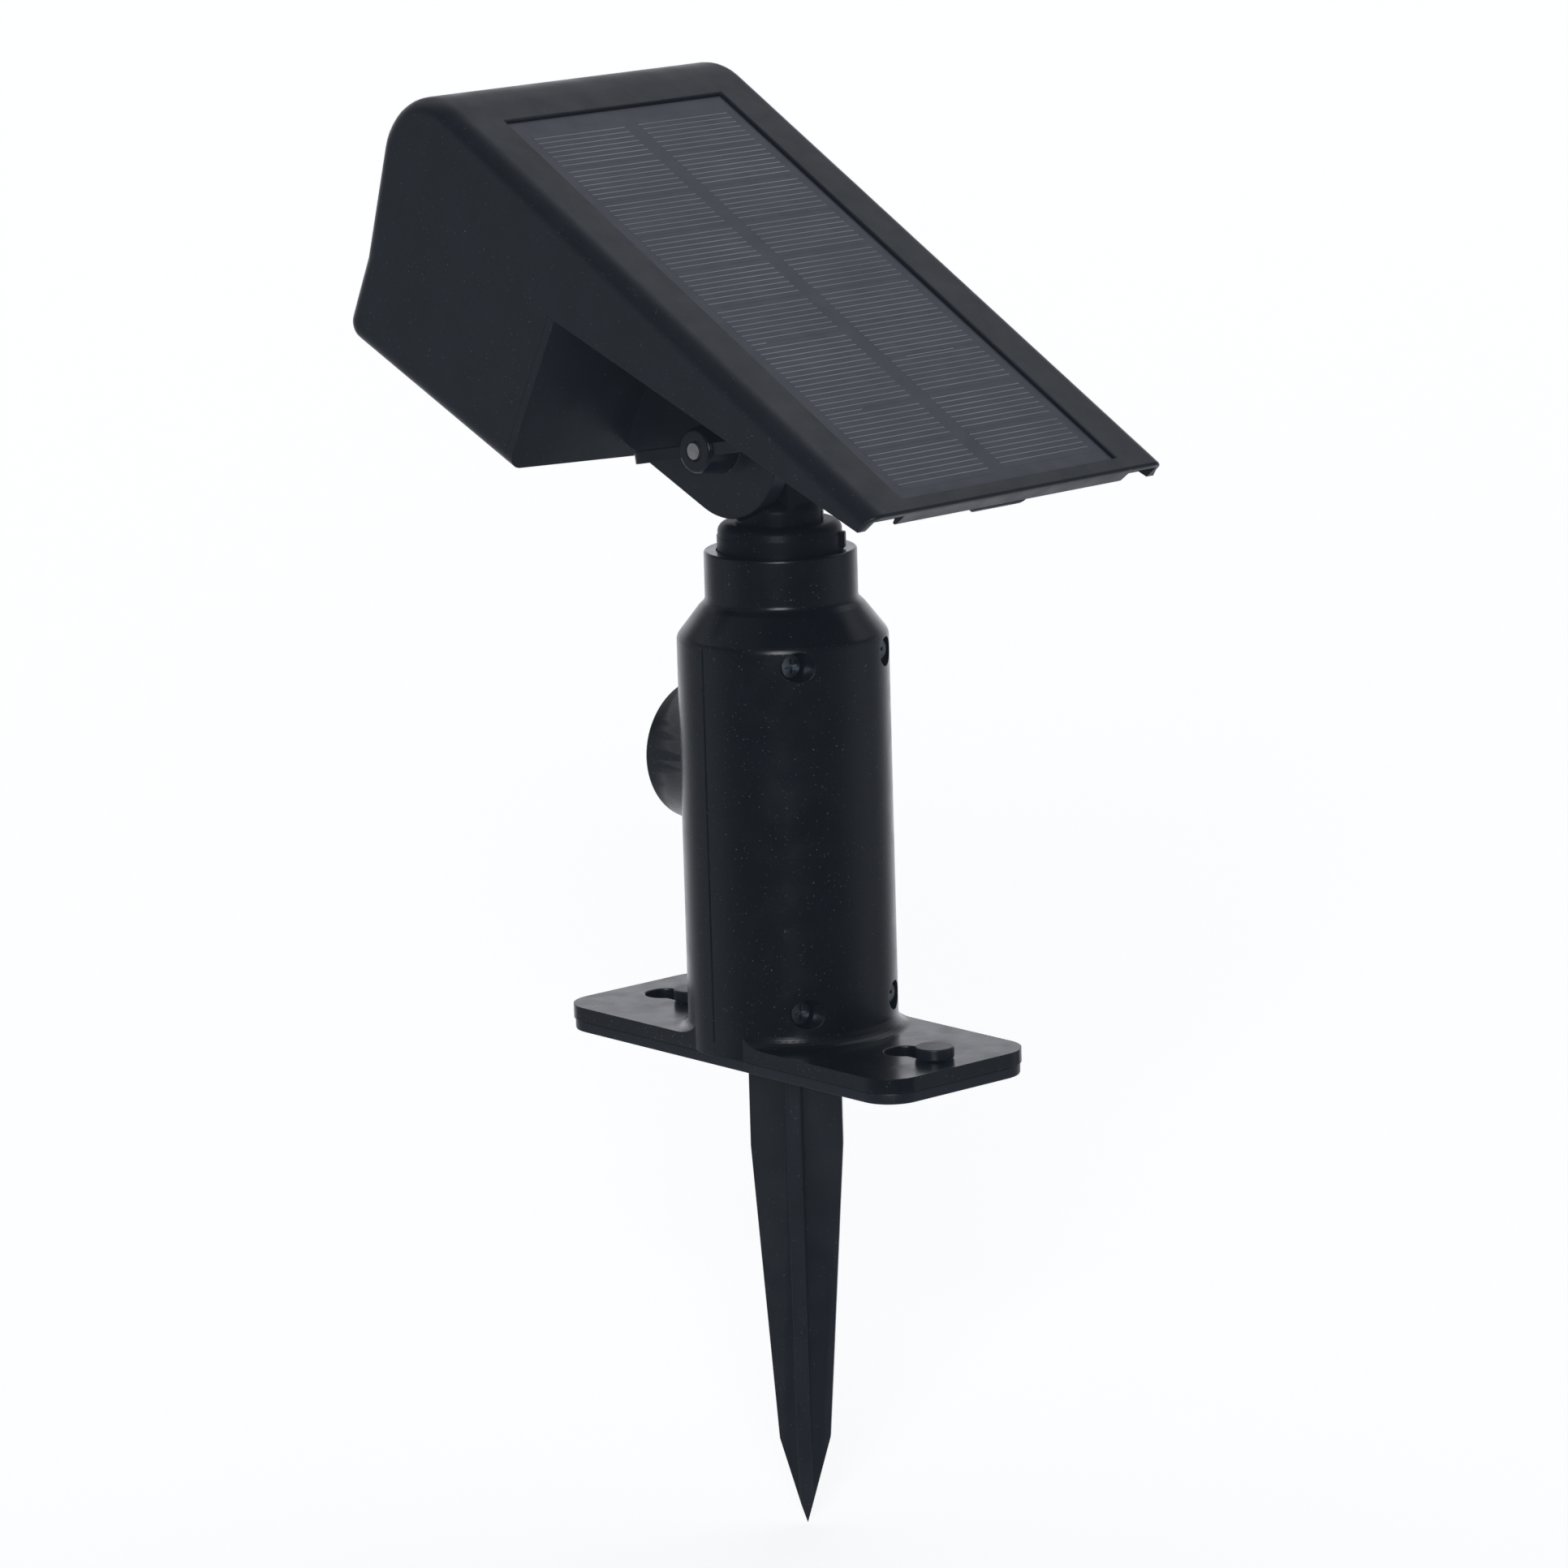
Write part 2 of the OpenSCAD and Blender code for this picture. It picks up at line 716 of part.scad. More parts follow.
// Outer form of the head: its outline, drawn in towards both sides by the rounding of the long edges
module head_solid() {
    sections = concat(
        [for (i = [edge_steps:-1:0]) edge_place(i, -1)],
        [for (i = [0:edge_steps]) edge_place(i, 1)]);
    count = len(head_outline);
    last = count * (len(sections) - 1);
    // The flat sides fan out from the corner under the skirt, which sees the whole outline
    corner = count - 2;
    side_fan = [for (i = [0:count - 1]) let (k = (i + 1) % count)
        if (i != corner && k != corner) [corner, i, k]];
    polyhedron(
        points = [for (s = sections, p = head_outline)
            [s[0], p[0][0] + s[1] * p[1][0], p[0][1] + s[1] * p[1][1]]],
        faces = concat(
            side_fan,
            [for (f = side_fan) [last + f[0], last + f[2], last + f[1]]],
            [for (j = [0:len(sections) - 2], i = [0:count - 1], half = [0, 1])
                let (k = (i + 1) % count, near = j * count, next = near + count)
                half == 0 ? [near + k, near + i, next + i] : [near + k, next + i, next + k]]));
}

module head_hollow() {
    ceiling = top_z - top_t;
    end_y = tail_reach - tail_bar_t;
    inner_face = face_p - shell_wall * normal(face_a);
    lowest = inner_face + (face_len + lip_len) * along(face_a);
    across(2 * inner_half) polygon(concat(
        [[end_y, ceiling], [hood_y, ceiling]],
        [for (a = [15:15:90]) hood_c + (hood_r - shell_wall) * normal(a)],
        [inner_face, lowest, [lowest[0], floor_z(lowest[0])], [-10, floor_z(-10)],
            [-10, skirt_z(-10) - 5], [end_y, skirt_z(end_y) - 5]]));
}

module lamp_rect(w, h, r, z0, z1) {
    in_lamp() translate([0, 0, z0]) linear_extrude(z1 - z0) round_rect(w, h, r);
}

module at_cover_screws() {
    for (s = [-1, 1], y = cover_screw_y) on_cover(s * cover_screw_x, y) children();
}

module panel_box(w, y0, y1, z0, z1) {
    translate([-w / 2, y0, z0]) cube([w, y1 - y0, z1 - z0]);
}

// Hood shell: top with the panel pocket, skirts, hooded front and the lamp box's sides and floor
module head_shell() {
    pocket_z = top_z - pocket_depth;
    boss_top = top_z - top_t / 2;
    color(shell_black) in_head() difference() {
        union() {
            difference() {
                head_solid();
                head_hollow();
                // Open tail under the end lip, beside and below the end bar
                for (s = [-1, 1]) translate([s * (tail_bar_w + 2 * inner_half) / 4, 0, 0])
                    panel_box(inner_half - tail_bar_w / 2, window_end, far, 0, top_z - tail_lip_t);
                panel_box(2 * inner_half, window_end, far, 0, top_z - tail_bar_drop);
            }
            panel_box(window_w + 2 * pocket_rim, window_y - pocket_rim, window_end + pocket_rim,
                pocket_z - pocket_floor_t, boss_top);
            intersection() {
                at_cover_screws() translate([0, 0, cover_t]) cylinder(r = cover_boss_r, h = skirt_front);
                panel_box(2 * half_w, -far, far, -far, boss_top);
            }
            for (s = [-1, 1]) on_floor(button_x, button_y) translate([0, s * switch_post_y, -shell_wall / 2])
                cylinder(r = switch_post_r, h = switch_board_z + shell_wall / 2);
        }
        // Open rear of the lamp box, where the base cover's wall seats
        in_wall() translate([-far / 2, -far, -1]) cube([far, far, cover_wall + fit + 1]);
        panel_box(window_w, window_y, window_end, pocket_z, top_z + 1);
        panel_box(window_w - 2 * pocket_ledge, window_y + pocket_ledge, window_end - pocket_ledge,
            pocket_z - pocket_floor_t - 1, top_z);
        lamp_rect(lamp_w, lamp_h, lamp_corner_r, -shell_wall - 1, 12);
        on_floor(button_x, button_y) translate([0, 0, -2 * shell_wall])
            cylinder(r = button_hole_r, h = 3 * shell_wall);
        at_cover_screws() translate([0, 0, -1])
            cylinder(r = screw_d / 2 + fit, h = cover_t + cover_screw_len + 2);
    }
}

// Cover that closes the head from below and carries the hinge ears
module ear_outline() {
    low = ear_r * [sin(floor_slope), -cos(floor_slope)];
    rear_y = ear_r * cos(ear_root_a);
    root_y = back_y(box_top_z) - cover_wall / 2;
    heel_y = back_y(heel_p[1]) - cover_wall / 2;
    union() {
        circle(ear_r);
        polygon([low, [rear_y, 0], [rear_y, skirt_z(rear_y) + cover_t / 2],
            [root_y, skirt_z(root_y) + cover_t / 2],
            [heel_y, low[1] + (heel_y - low[0]) * tan(floor_slope)]]);
    }
}

// Rear wall, as wide as the head, with its lower edge drawn down towards the middle
module cover_rear_wall() {
    in_wall() linear_extrude(cover_wall) polygon(concat(
        [[half_w, -fit]], arc([half_w - edge_r, edge_r - wall_h], edge_r, 0, -80, 5),
        [[0, -wall_h - wall_bow]],
        arc([edge_r - half_w, edge_r - wall_h], edge_r, 260, 180, 5), [[-half_w, -fit]]));
}

module base_cover() {
    front_y = back_y(box_top_z) - fit;
    root_y = front_y - cover_wall;
    tab_top = top_z - tail_bar_drop - fit;
    tab_foot = tab_top - tail_tab_t;
    tab_root_y = window_end - tail_tab_root;
    color(shell_black) in_head() difference() {
        union() {
            across(2 * cover_half) polygon([
                [window_end, skirt_z(window_end) + cover_lift],
                [window_end, skirt_z(window_end) + cover_lift + cover_t],
                [root_y, skirt_z(root_y) + cover_lift + cover_t], [root_y, box_top_z - cover_wall],
                [front_y, box_top_z - cover_wall], [front_y, skirt_z(front_y) + cover_lift]]);
            cover_rear_wall();
            // Snap tab at the tail, its end in line with the slanting tail face
            intersection() {
                translate([tail_tab_x, 0, 0]) across(tail_tab_w) polygon([
                    [tab_root_y, tab_top], [skirt_end_y, tab_top],
                    [skirt_end_y - tail_tab_t * tan(tail_lean), tab_foot], [tab_root_y, tab_foot]]);
                translate([tail_tab_x, skirt_end_y, tab_top]) rotate([90, 0, 0])
                    linear_extrude(skirt_end_y - tab_root_y) polygon([
                        [-tail_tab_w / 2, 0], [tail_tab_w / 2, 0],
                        [tail_tab_w / 2 - tail_tab_t, -tail_tab_t],
                        [tail_tab_t - tail_tab_w / 2, -tail_tab_t]]);
            }
            for (s = [-1, 1]) translate([s * (ear_in + ear_out) / 2, 0, 0]) across(ear_t) ear_outline();
            for (s = [-1, 1]) in_control() translate([s * control_w * 0.4, 0, 0])
                along_y(2.4, 0, control_stand + cover_wall / 2);
        }
        along_x(bolt_r + fit, -ear_out - 1, ear_out + 1);
        translate([-ear_out - 1, 0, 0]) rotate([0, 90, 0])
            cylinder(r = bolt_head_r + gap, h = bolt_head_h + 1, $fn = 6);
        at_cover_screws() translate([0, 0, -1]) cylinder(r = screw_d / 2 + gap, h = cover_t + 2);
    }
}

module cover_screws() {
    color(steel) in_head() at_cover_screws()
        screw(cover_screw_len + cover_t, screw_d, screw_head_d, cover_screw_head_h);
}

// Solar panel: backing plate, two columns of cells and the clear film over them
module panel_plate() {
    z = top_z - pocket_depth;
    color([0.12, 0.13, 0.18]) in_head()
        panel_box(panel_w, window_y + gap, window_y + gap + panel_len, z, z + panel_plate_t);
}

module solar_cells() {
    first_y = window_y + gap + cell_margin_y + cell_pitch / 2;
    z = top_z - panel_sink - film_t - cell_t;
    color([0.17, 0.18, 0.26]) in_head() for (s = [-1, 1], i = [0:cell_rows - 1])
        translate([s * (cell_column_gap + cell_w) / 2, first_y + i * cell_pitch, z])
            translate([-cell_w / 2, -cell_len / 2, 0]) cube([cell_w, cell_len, cell_t]);
}

module panel_film() {
    z = top_z - panel_sink - film_t;
    color([0.3, 0.32, 0.4, 0.35]) in_head()
        panel_box(panel_w, window_y + gap, window_y + gap + panel_len, z, z + film_t);
}

// Lamp: seal, clear lens, reflector with its cups, board and light emitters
module lens_seal() {
    color([0.05, 0.05, 0.05]) in_head() difference() {
        lamp_rect(lens_w, lens_h, lens_corner_r, seal_back, -shell_wall);
        lamp_rect(lamp_w, lamp_h, lens_corner_r, seal_back - 1, 0);
    }
}

module front_lens() {
    color([0.85, 0.9, 0.95, 0.4]) in_head() lamp_rect(lens_w, lens_h, lens_corner_r, lens_back, seal_back);
}

module at_leds() {
    for (i = [0:led_columns - 1], j = [0:led_rows - 1])
        translate([(i - (led_columns - 1) / 2) * cup_pitch_x, (j - (led_rows - 1) / 2) * cup_pitch_y, 0])
            children();
}

module reflector() {
    color([0.85, 0.85, 0.86]) in_head() difference() {
        lamp_rect(lamp_w - 1, lamp_h - 1, lens_corner_r, cup_back, lens_back);
        in_lamp() at_leds() translate([0, 0, cup_back - 0.01])
            cylinder(r1 = cup_small_r, r2 = cup_r, h = cup_depth + 1.02);
    }
}

module led_board() {
    color("white") in_head() lamp_rect(lamp_w - 1, lamp_h - 1, lens_corner_r, led_board_back, cup_back);
}

module leds() {
    color([0.95, 0.85, 0.3]) in_head() in_lamp() at_leds()
        translate([-led_w / 2, -led_w / 2, cup_back]) cube([led_w, led_w, led_h]);
}

// Battery cell in its holder on the floor of the lamp box
module in_battery_axis() {
    on_floor(battery_x, battery_y) translate([0, 0, holder_floor + battery_r]) children();
}

module battery_holder() {
    holder_w = battery_d + 2 * holder_wall;
    color(deep_black) in_head() difference() {
        on_floor(battery_x, battery_y) translate([-holder_len / 2, -holder_w / 2, 0])
            cube([holder_len, holder_w, holder_floor + battery_r]);
        in_battery_axis()
            along_x(battery_r + fit, -holder_len / 2 + holder_wall, holder_len / 2 - holder_wall);
    }
}

module battery() {
    color([0.2, 0.35, 0.6]) in_head() in_battery_axis() {
        along_x(battery_r, -battery_len / 2, battery_len / 2 - battery_cap_h);
        along_x(battery_cap_r, battery_len / 2 - battery_cap_h - 1, battery_len / 2);
    }
}

module battery_contacts() {
    color(steel) in_head() in_battery_axis() for (s = [-1, 1])
        translate([s * (battery_len / 2 + gap + contact_t / 2), 0, 0])
            translate([-contact_t / 2, -contact_w / 2, -contact_w])
                cube([contact_t, contact_w, 1.5 * contact_w]);
}

// Control board on the cover's rear wall, with its parts facing the battery
module in_control() {
    translate([0, back_y(control_z) - cover_wall / 2, control_z]) rotate([floor_slope, 0, 0])
        translate([0, -control_stand - cover_wall / 2, 0]) children();
}

module control_board() {
    color("darkgreen") in_head() in_control()
        translate([-control_w / 2, -board_t, -control_h / 2]) cube([control_w, board_t, control_h]);
}

module board_parts() {
    color([0.08, 0.08, 0.09]) in_head() in_control() for (i = [0:3]) {
        w = i == 2 ? coil_w : chip_w;
        t = i == 2 ? coil_t : chip_t;
        translate([(i - 1.5) * part_pitch - w / 2, -board_t - t, (i % 2 - 0.5) * 2 * part_rise - chip_h / 2])
            cube([w, t, chip_h]);
    }
}

// Mode button through the floor, with its switch above it
module mode_button() {
    color([0.09, 0.09, 0.1]) in_head() on_floor(button_x, button_y) {
        translate([0, 0, -shell_wall - button_proud])
            cylinder(r = button_r, h = shell_wall + button_proud + button_lift + 0.1);
        translate([0, 0, button_lift]) cylinder(r = button_flange_r, h = button_flange_t);
        cylinder(r = button_stem_r, h = button_stem_h);
    }
}

module switch_board() {
    w = 14;
    l = 2 * (switch_post_y + switch_post_r + 0.6);
    color("darkgreen") in_head() on_floor(button_x, button_y)
        translate([-w / 2, -l / 2, switch_board_z]) cube([w, l, board_t]);
}

module mode_switch() {
    color(deep_black) in_head() on_floor(button_x, button_y) {
        translate([-switch_w / 2, -switch_w / 2, switch_board_z - switch_h])
            cube([switch_w, switch_w, switch_h]);
        translate([0, 0, switch_board_z - switch_h - plunger_h]) cylinder(r = plunger_r, h = plunger_h + 1);
    }
}

// Hinge bolt with its captive head, washer, wing nut and the nut's metal insert
module hinge_bolt() {
    head_x = -ear_out + 0.2;
    color(steel) in_head() {
        along_x(bolt_r, head_x, bolt_end);
        translate([head_x, 0, 0]) rotate([0, 90, 0])
            cylinder(r = bolt_head_r, h = bolt_head_h - 0.2, $fn = 6);
    }
}

module hinge_washer() {
    color(steel) in_head() difference() {
        along_x(hub_foot_r - 0.4, ear_out, ear_out + hinge_washer_t);
        along_x(bolt_r + gap, ear_out - 1, hub_x + 1);
    }
}

module wing_nut() {
    wing_high = hub_len + wing_flare;
    tip_r = (wing_high - wing_low) / 2;
    tip_start = wing_span / 2 - wing_tip_len;
    color(deep_black) in_head() difference() {
        union() {
            translate([hub_x, 0, 0]) rotate([0, 90, 0]) cylinder(r1 = hub_foot_r, r2 = hub_r, h = hub_len);
            for (s = [0, 180]) rotate([wing_turn + s, 0, 0]) translate([hub_x, 0, -wing_t / 2])
                linear_extrude(wing_t) union() {
                    polygon([[wing_root, 0], [hub_len - wing_neck, 0],
                        [wing_high, tip_start], [wing_low, tip_start]]);
                    translate([(wing_high + wing_low) / 2, wing_span / 2 - tip_r]) circle(tip_r);
                }
        }
        along_x(insert_r, hub_x - 1, hub_x + hub_len - insert_end);
        along_x(bolt_r + fit, hub_x - 1, hub_x + hub_len + 1);
    }
}

module nut_insert() {
    color([0.75, 0.62, 0.3]) in_head() difference() {
        along_x(insert_r - fit / 2, hub_x + fit, hub_x + hub_len - insert_end);
        along_x(bolt_r + fit, hub_x - 1, hub_x + hub_len);
    }
}

ground_stake();
post_rear_half();
post_front_half();
post_screws();
sensor_lens();
sensor_spacer();
sensor_board();
sensor_element();
swivel_washer();
swivel_neck();
head_shell();
base_cover();
cover_screws();
panel_plate();
solar_cells();
panel_film();
lens_seal();
front_lens();
reflector();
led_board();
leds();
battery_holder();
battery();
battery_contacts();
control_board();
board_parts();
switch_board();
mode_switch();
mode_button();
hinge_bolt();
hinge_washer();
wing_nut();
nut_insert();
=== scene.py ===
# %% [markdown]
# # A solar spotlight on a ground stake
# The light has a hooded lamp head with a solar panel on its sloping top, a wing nut hinge, a swivel neck, a
# split post on a foot, and a plastic spike. The measured solids come in as a fixed frame: they say where
# everything is and how it moves. This file gives the solids their looks: softened edges, finishes, light and
# a camera.

# %% Load the measured frame
import json
import math

import bmesh
import bpy
from mathutils import Matrix, Vector


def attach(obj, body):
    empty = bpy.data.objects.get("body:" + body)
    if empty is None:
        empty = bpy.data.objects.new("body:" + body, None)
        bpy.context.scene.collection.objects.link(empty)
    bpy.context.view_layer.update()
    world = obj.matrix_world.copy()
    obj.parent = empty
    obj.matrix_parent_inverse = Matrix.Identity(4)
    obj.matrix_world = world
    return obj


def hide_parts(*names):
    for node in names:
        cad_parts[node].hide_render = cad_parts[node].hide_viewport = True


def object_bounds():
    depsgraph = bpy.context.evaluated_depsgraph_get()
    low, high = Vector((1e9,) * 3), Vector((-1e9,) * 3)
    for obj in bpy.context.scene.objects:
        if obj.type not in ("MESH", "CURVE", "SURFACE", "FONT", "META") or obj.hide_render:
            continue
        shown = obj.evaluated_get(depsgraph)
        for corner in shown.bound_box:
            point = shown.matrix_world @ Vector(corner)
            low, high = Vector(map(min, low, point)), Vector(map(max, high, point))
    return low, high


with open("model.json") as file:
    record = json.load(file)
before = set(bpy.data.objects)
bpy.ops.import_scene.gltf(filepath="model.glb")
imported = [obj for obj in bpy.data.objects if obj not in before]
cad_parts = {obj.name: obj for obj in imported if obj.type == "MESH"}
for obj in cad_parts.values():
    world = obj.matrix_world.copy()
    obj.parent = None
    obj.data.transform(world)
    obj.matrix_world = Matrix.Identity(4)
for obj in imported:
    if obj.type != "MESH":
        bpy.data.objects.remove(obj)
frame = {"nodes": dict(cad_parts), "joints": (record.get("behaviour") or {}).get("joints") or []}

MM = 0.001
CAD_LOW, CAD_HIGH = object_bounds()
print("height", round((CAD_HIGH.z - CAD_LOW.z) / MM, 1), "mm")

# %% [markdown]
# The camera comes first and stands where the photograph's camera stood. The picture was taken with a long
# lens from behind and a little above, with the camera turned slightly about its own axis. A camera could be
# aimed with a Track To constraint, but building its matrix from three axes also takes that small roll.

# %% Camera at the photograph's view
VIEW_AZIMUTH = math.radians(138.93)
VIEW_RISE = math.radians(11.73)
VIEW_ROLL = math.radians(-1.64)
VIEW_DISTANCE = 1685.4 * MM
AIM_ACROSS = -0.71 * MM
AIM_HEIGHT = 65.84 * MM
LENS_MM = 160.63
SENSOR_MM = 36.0
SEES_FROM, SEES_TO = 0.05, 200

back = Vector((math.sin(VIEW_AZIMUTH) * math.cos(VIEW_RISE),
               -math.cos(VIEW_AZIMUTH) * math.cos(VIEW_RISE),
               math.sin(VIEW_RISE)))
level_right = Vector((math.cos(VIEW_AZIMUTH), math.sin(VIEW_AZIMUTH), 0))
level_up = back.cross(level_right)
right = level_right * math.cos(VIEW_ROLL) + level_up * math.sin(VIEW_ROLL)
up = level_up * math.cos(VIEW_ROLL) - level_right * math.sin(VIEW_ROLL)
aim = level_right * AIM_ACROSS + Vector((0, 0, AIM_HEIGHT))
turned = Matrix((right, up, back)).transposed().to_4x4()

lens = bpy.data.cameras.new("photo_camera")
lens.lens = LENS_MM
lens.sensor_width = SENSOR_MM
lens.clip_start = SEES_FROM
lens.clip_end = SEES_TO
camera = bpy.data.objects.new("photo_camera", lens)
bpy.context.scene.collection.objects.link(camera)
camera.matrix_world = Matrix.Translation(aim + back * VIEW_DISTANCE) @ turned
bpy.context.scene.camera = camera
print("camera at", [round(x, 3) for x in camera.location])

# %% [markdown]
# The light is painted on the sky, which in Blender is a node tree of its own. Lamp objects could light the set
# too, but a painted sky keeps every change soft. Three helpers keep the tree short: one tells how far a
# direction points a given way, one maps that onto a range of light, and one joins two lights.

# %% Sky helpers
RANGE_SOCKETS = ("From Min", "From Max", "To Min", "To Max")

world = bpy.data.worlds.new("studio")
world.use_nodes = True
bpy.context.scene.world = world
sky = world.node_tree
sky_coord = sky.nodes.new("ShaderNodeTexCoord")


def sky_toward(direction):
    """How far a direction of the sky points a given way."""
    toward = sky.nodes.new("ShaderNodeVectorMath")
    toward.operation = "DOT_PRODUCT"
    toward.inputs[1].default_value = direction
    sky.links.new(sky_coord.outputs["Generated"], toward.inputs[0])
    return toward.outputs["Value"]


def sky_range(value, start, end, low, high, soft=True):
    """Maps a value of the sky onto a range of light."""
    ranged = sky.nodes.new("ShaderNodeMapRange")
    ranged.interpolation_type = "SMOOTHSTEP" if soft else "LINEAR"
    for socket, number in zip(RANGE_SOCKETS, (start, end, low, high)):
        ranged.inputs[socket].default_value = number
    sky.links.new(value, ranged.inputs["Value"])
    return ranged.outputs["Result"]


def sky_sum(operation, first, second):
    """Adds or multiplies two lights of the sky."""
    summed = sky.nodes.new("ShaderNodeMath")
    summed.operation = operation
    sky.links.new(first, summed.inputs[0])
    sky.links.new(second, summed.inputs[1])
    return summed.outputs["Value"]


rise = sky_toward((0, 0, 1))
camera_side = Vector((back.x, back.y, 0)).normalized()
toward_camera = sky_toward(camera_side)
print("the camera's side of the sky:", [round(x, 3) for x in camera_side])

# %% [markdown]
# The set is a plain studio: a soft ceiling that fades towards the camera, a white sweep low behind the object,
# a faint glow from the table below, and a dim room on the camera's side with one small soft lamp. Black
# plastic shows what it mirrors, so the sweep makes the bright rims of the post and the dim room its dark
# middle, and the lamp draws the thin lines of light on rounded edges.

# %% Studio light
SWEEP = (
    (0.0, 1.28), (0.08, 0.84), (0.17, 0.36), (0.27, 0.20), (0.5, 0.245), (0.75, 0.08), (0.95, 0.02),
)
SWEEP_MOST = 2
SWEEP_TOP, SWEEP_GONE, SWEEP_LEFT = 0.20, 0.40, 0.15
CEILING = 0.62
CEILING_FROM, CEILING_FULL = 0.30, 0.75
CEILING_BACK, CEILING_NEAR, CEILING_LEFT = -0.5, 0.15, 0.15
TABLE_FROM, TABLE_FULL, TABLE_GLOW = -0.45, -0.75, 0.15
LAMP_RISE, LAMP_ASIDE = math.radians(17), math.radians(-4)
LAMP_CORE, LAMP_RIM = math.radians(9), math.radians(14)
LAMP = 7.0
SKY_TINT = (0.92, 0.94, 1.0, 1)

sweep = sky.nodes.new("ShaderNodeFloatCurve")
curve = sweep.mapping.curves[0]
sweep.mapping.clip_max_y = SWEEP_MOST
for point, spot in zip((curve.points[0], curve.points[1]), (SWEEP[0], SWEEP[-1])):
    point.location = spot
for place, level in SWEEP[1:-1]:
    curve.points.new(place, level)
sweep.mapping.update()
sky.links.new(sky_range(toward_camera, -1, 1, 0, 1, soft=False), sweep.inputs["Value"])
low_down = sky_range(rise, SWEEP_TOP, SWEEP_GONE, 1, SWEEP_LEFT)
light = sky_sum("MULTIPLY", sweep.outputs["Value"], low_down)

ceiling = sky_range(rise, CEILING_FROM, CEILING_FULL, 0, CEILING)
fade = sky_range(toward_camera, CEILING_BACK, CEILING_NEAR, 1, CEILING_LEFT)
light = sky_sum("ADD", light, sky_sum("MULTIPLY", ceiling, fade))
light = sky_sum("ADD", light, sky_range(rise, TABLE_FULL, TABLE_FROM, TABLE_GLOW, 0))

lamp_side = Matrix.Rotation(LAMP_ASIDE, 3, "Z") @ camera_side * math.cos(LAMP_RISE)
lamp_side.z = math.sin(LAMP_RISE)
lamp = sky_range(sky_toward(lamp_side), math.cos(LAMP_RIM), math.cos(LAMP_CORE), 0, LAMP)
background = sky.nodes["Background"]
background.inputs["Color"].default_value = SKY_TINT
sky.links.new(sky_sum("ADD", light, lamp), background.inputs["Strength"])
print("sweep from", SWEEP[-1][1], "to", SWEEP[0][1], "with a ceiling of", CEILING, "and a lamp of", LAMP)

# %% [markdown]
# A bright white set also fogs the lens a little, so the deepest shadow in the picture is a dark blue-grey and
# not black. The picture's black level does that for the whole image, and the standard view keeps the tones
# plain.

# %% Lens fog
LENS_FOG = (0.0055, 0.0070, 0.0095)
tone = bpy.context.scene.view_settings
tone.view_transform = "Standard"
tone.use_curve_mapping = True
tone.curve_mapping.black_level = [-level for level in LENS_FOG]
tone.curve_mapping.update()
print("lens fog", LENS_FOG)

# %% [markdown]
# The floor is a plain pale light table: a wide sheet just under the spike's tip that glows a little by itself,
# as product tables do, so the dark part stands on white. It is left out of mirror reflections, which keeps the
# plastic as dark as it is in a room.

# %% Floor
FLOOR_REACH = 30.0
FLOOR_GAP = 0.3 * MM
FLOOR_CELLS = 12
TABLE_WHITE = (0.86, 0.86, 0.86, 1)
TABLE_ROUGH = 0.9
TABLE_LIGHT = (1, 1, 1, 1)
TABLE_STRENGTH = 0.70


def new_object(name, bm):
    """Turns a bmesh into a linked object."""
    mesh = bpy.data.meshes.new(name)
    bm.to_mesh(mesh)
    bm.free()
    made = bpy.data.objects.new(name, mesh)
    bpy.context.scene.collection.objects.link(made)
    return made


floor_mesh = bmesh.new()
bmesh.ops.create_grid(floor_mesh, x_segments=FLOOR_CELLS, y_segments=FLOOR_CELLS, size=FLOOR_REACH)
floor = new_object("floor", floor_mesh)
floor.location.z = CAD_LOW.z - FLOOR_GAP
floor.visible_glossy = False

table = bpy.data.materials.new("light_table")
table.use_nodes = True
table_paint = table.node_tree.nodes["Principled BSDF"]
table_paint.inputs["Base Color"].default_value = TABLE_WHITE
table_paint.inputs["Roughness"].default_value = TABLE_ROUGH
table_paint.inputs["Emission Color"].default_value = TABLE_LIGHT
table_paint.inputs["Emission Strength"].default_value = TABLE_STRENGTH
floor.data.materials.append(table)
print("floor at", round(floor.location.z, 4))

# %% [markdown]
# Every finish is a small recipe of nodes. A few helpers keep the recipes short: what is the same all over is
# set straight on the shader, and noise feeds what varies. The noise reads object coordinates, which stay with
# a piece when it moves. Its scale is in cells per metre, so 1000 makes specks of about a millimetre.

# %% Recipe helpers
NOISE_SPAN = (0.3, 0.7)
BEVEL_RAYS = 4


def recipe(name, **constants):
    """A new material with a Principled shader, and its fixed values."""
    material = bpy.data.materials.new(name)
    material.use_nodes = True
    shader = material.node_tree.nodes["Principled BSDF"]
    for socket, value in constants.items():
        shader.inputs[socket.replace("_", " ")].default_value = value
    return material, material.node_tree, shader


def feed(tree, shader, **values):
    """Links values that vary to the shader."""
    for socket, value in values.items():
        tree.links.new(value, shader.inputs[socket.replace("_", " ")])


def noise(tree, scale, detail, stretch=None):
    """Noise in object coordinates, in cells per metre, drawn out along an axis if asked."""
    coord = tree.nodes.new("ShaderNodeTexCoord")
    grain = tree.nodes.new("ShaderNodeTexNoise")
    grain.inputs["Scale"].default_value = scale
    grain.inputs["Detail"].default_value = detail
    source = coord.outputs["Object"]
    if stretch:
        scaled = tree.nodes.new("ShaderNodeVectorMath")
        scaled.operation = "MULTIPLY"
        scaled.inputs[1].default_value = stretch
        tree.links.new(source, scaled.inputs[0])
        source = scaled.outputs["Vector"]
    tree.links.new(source, grain.inputs["Vector"])
    return grain.outputs["Fac"]


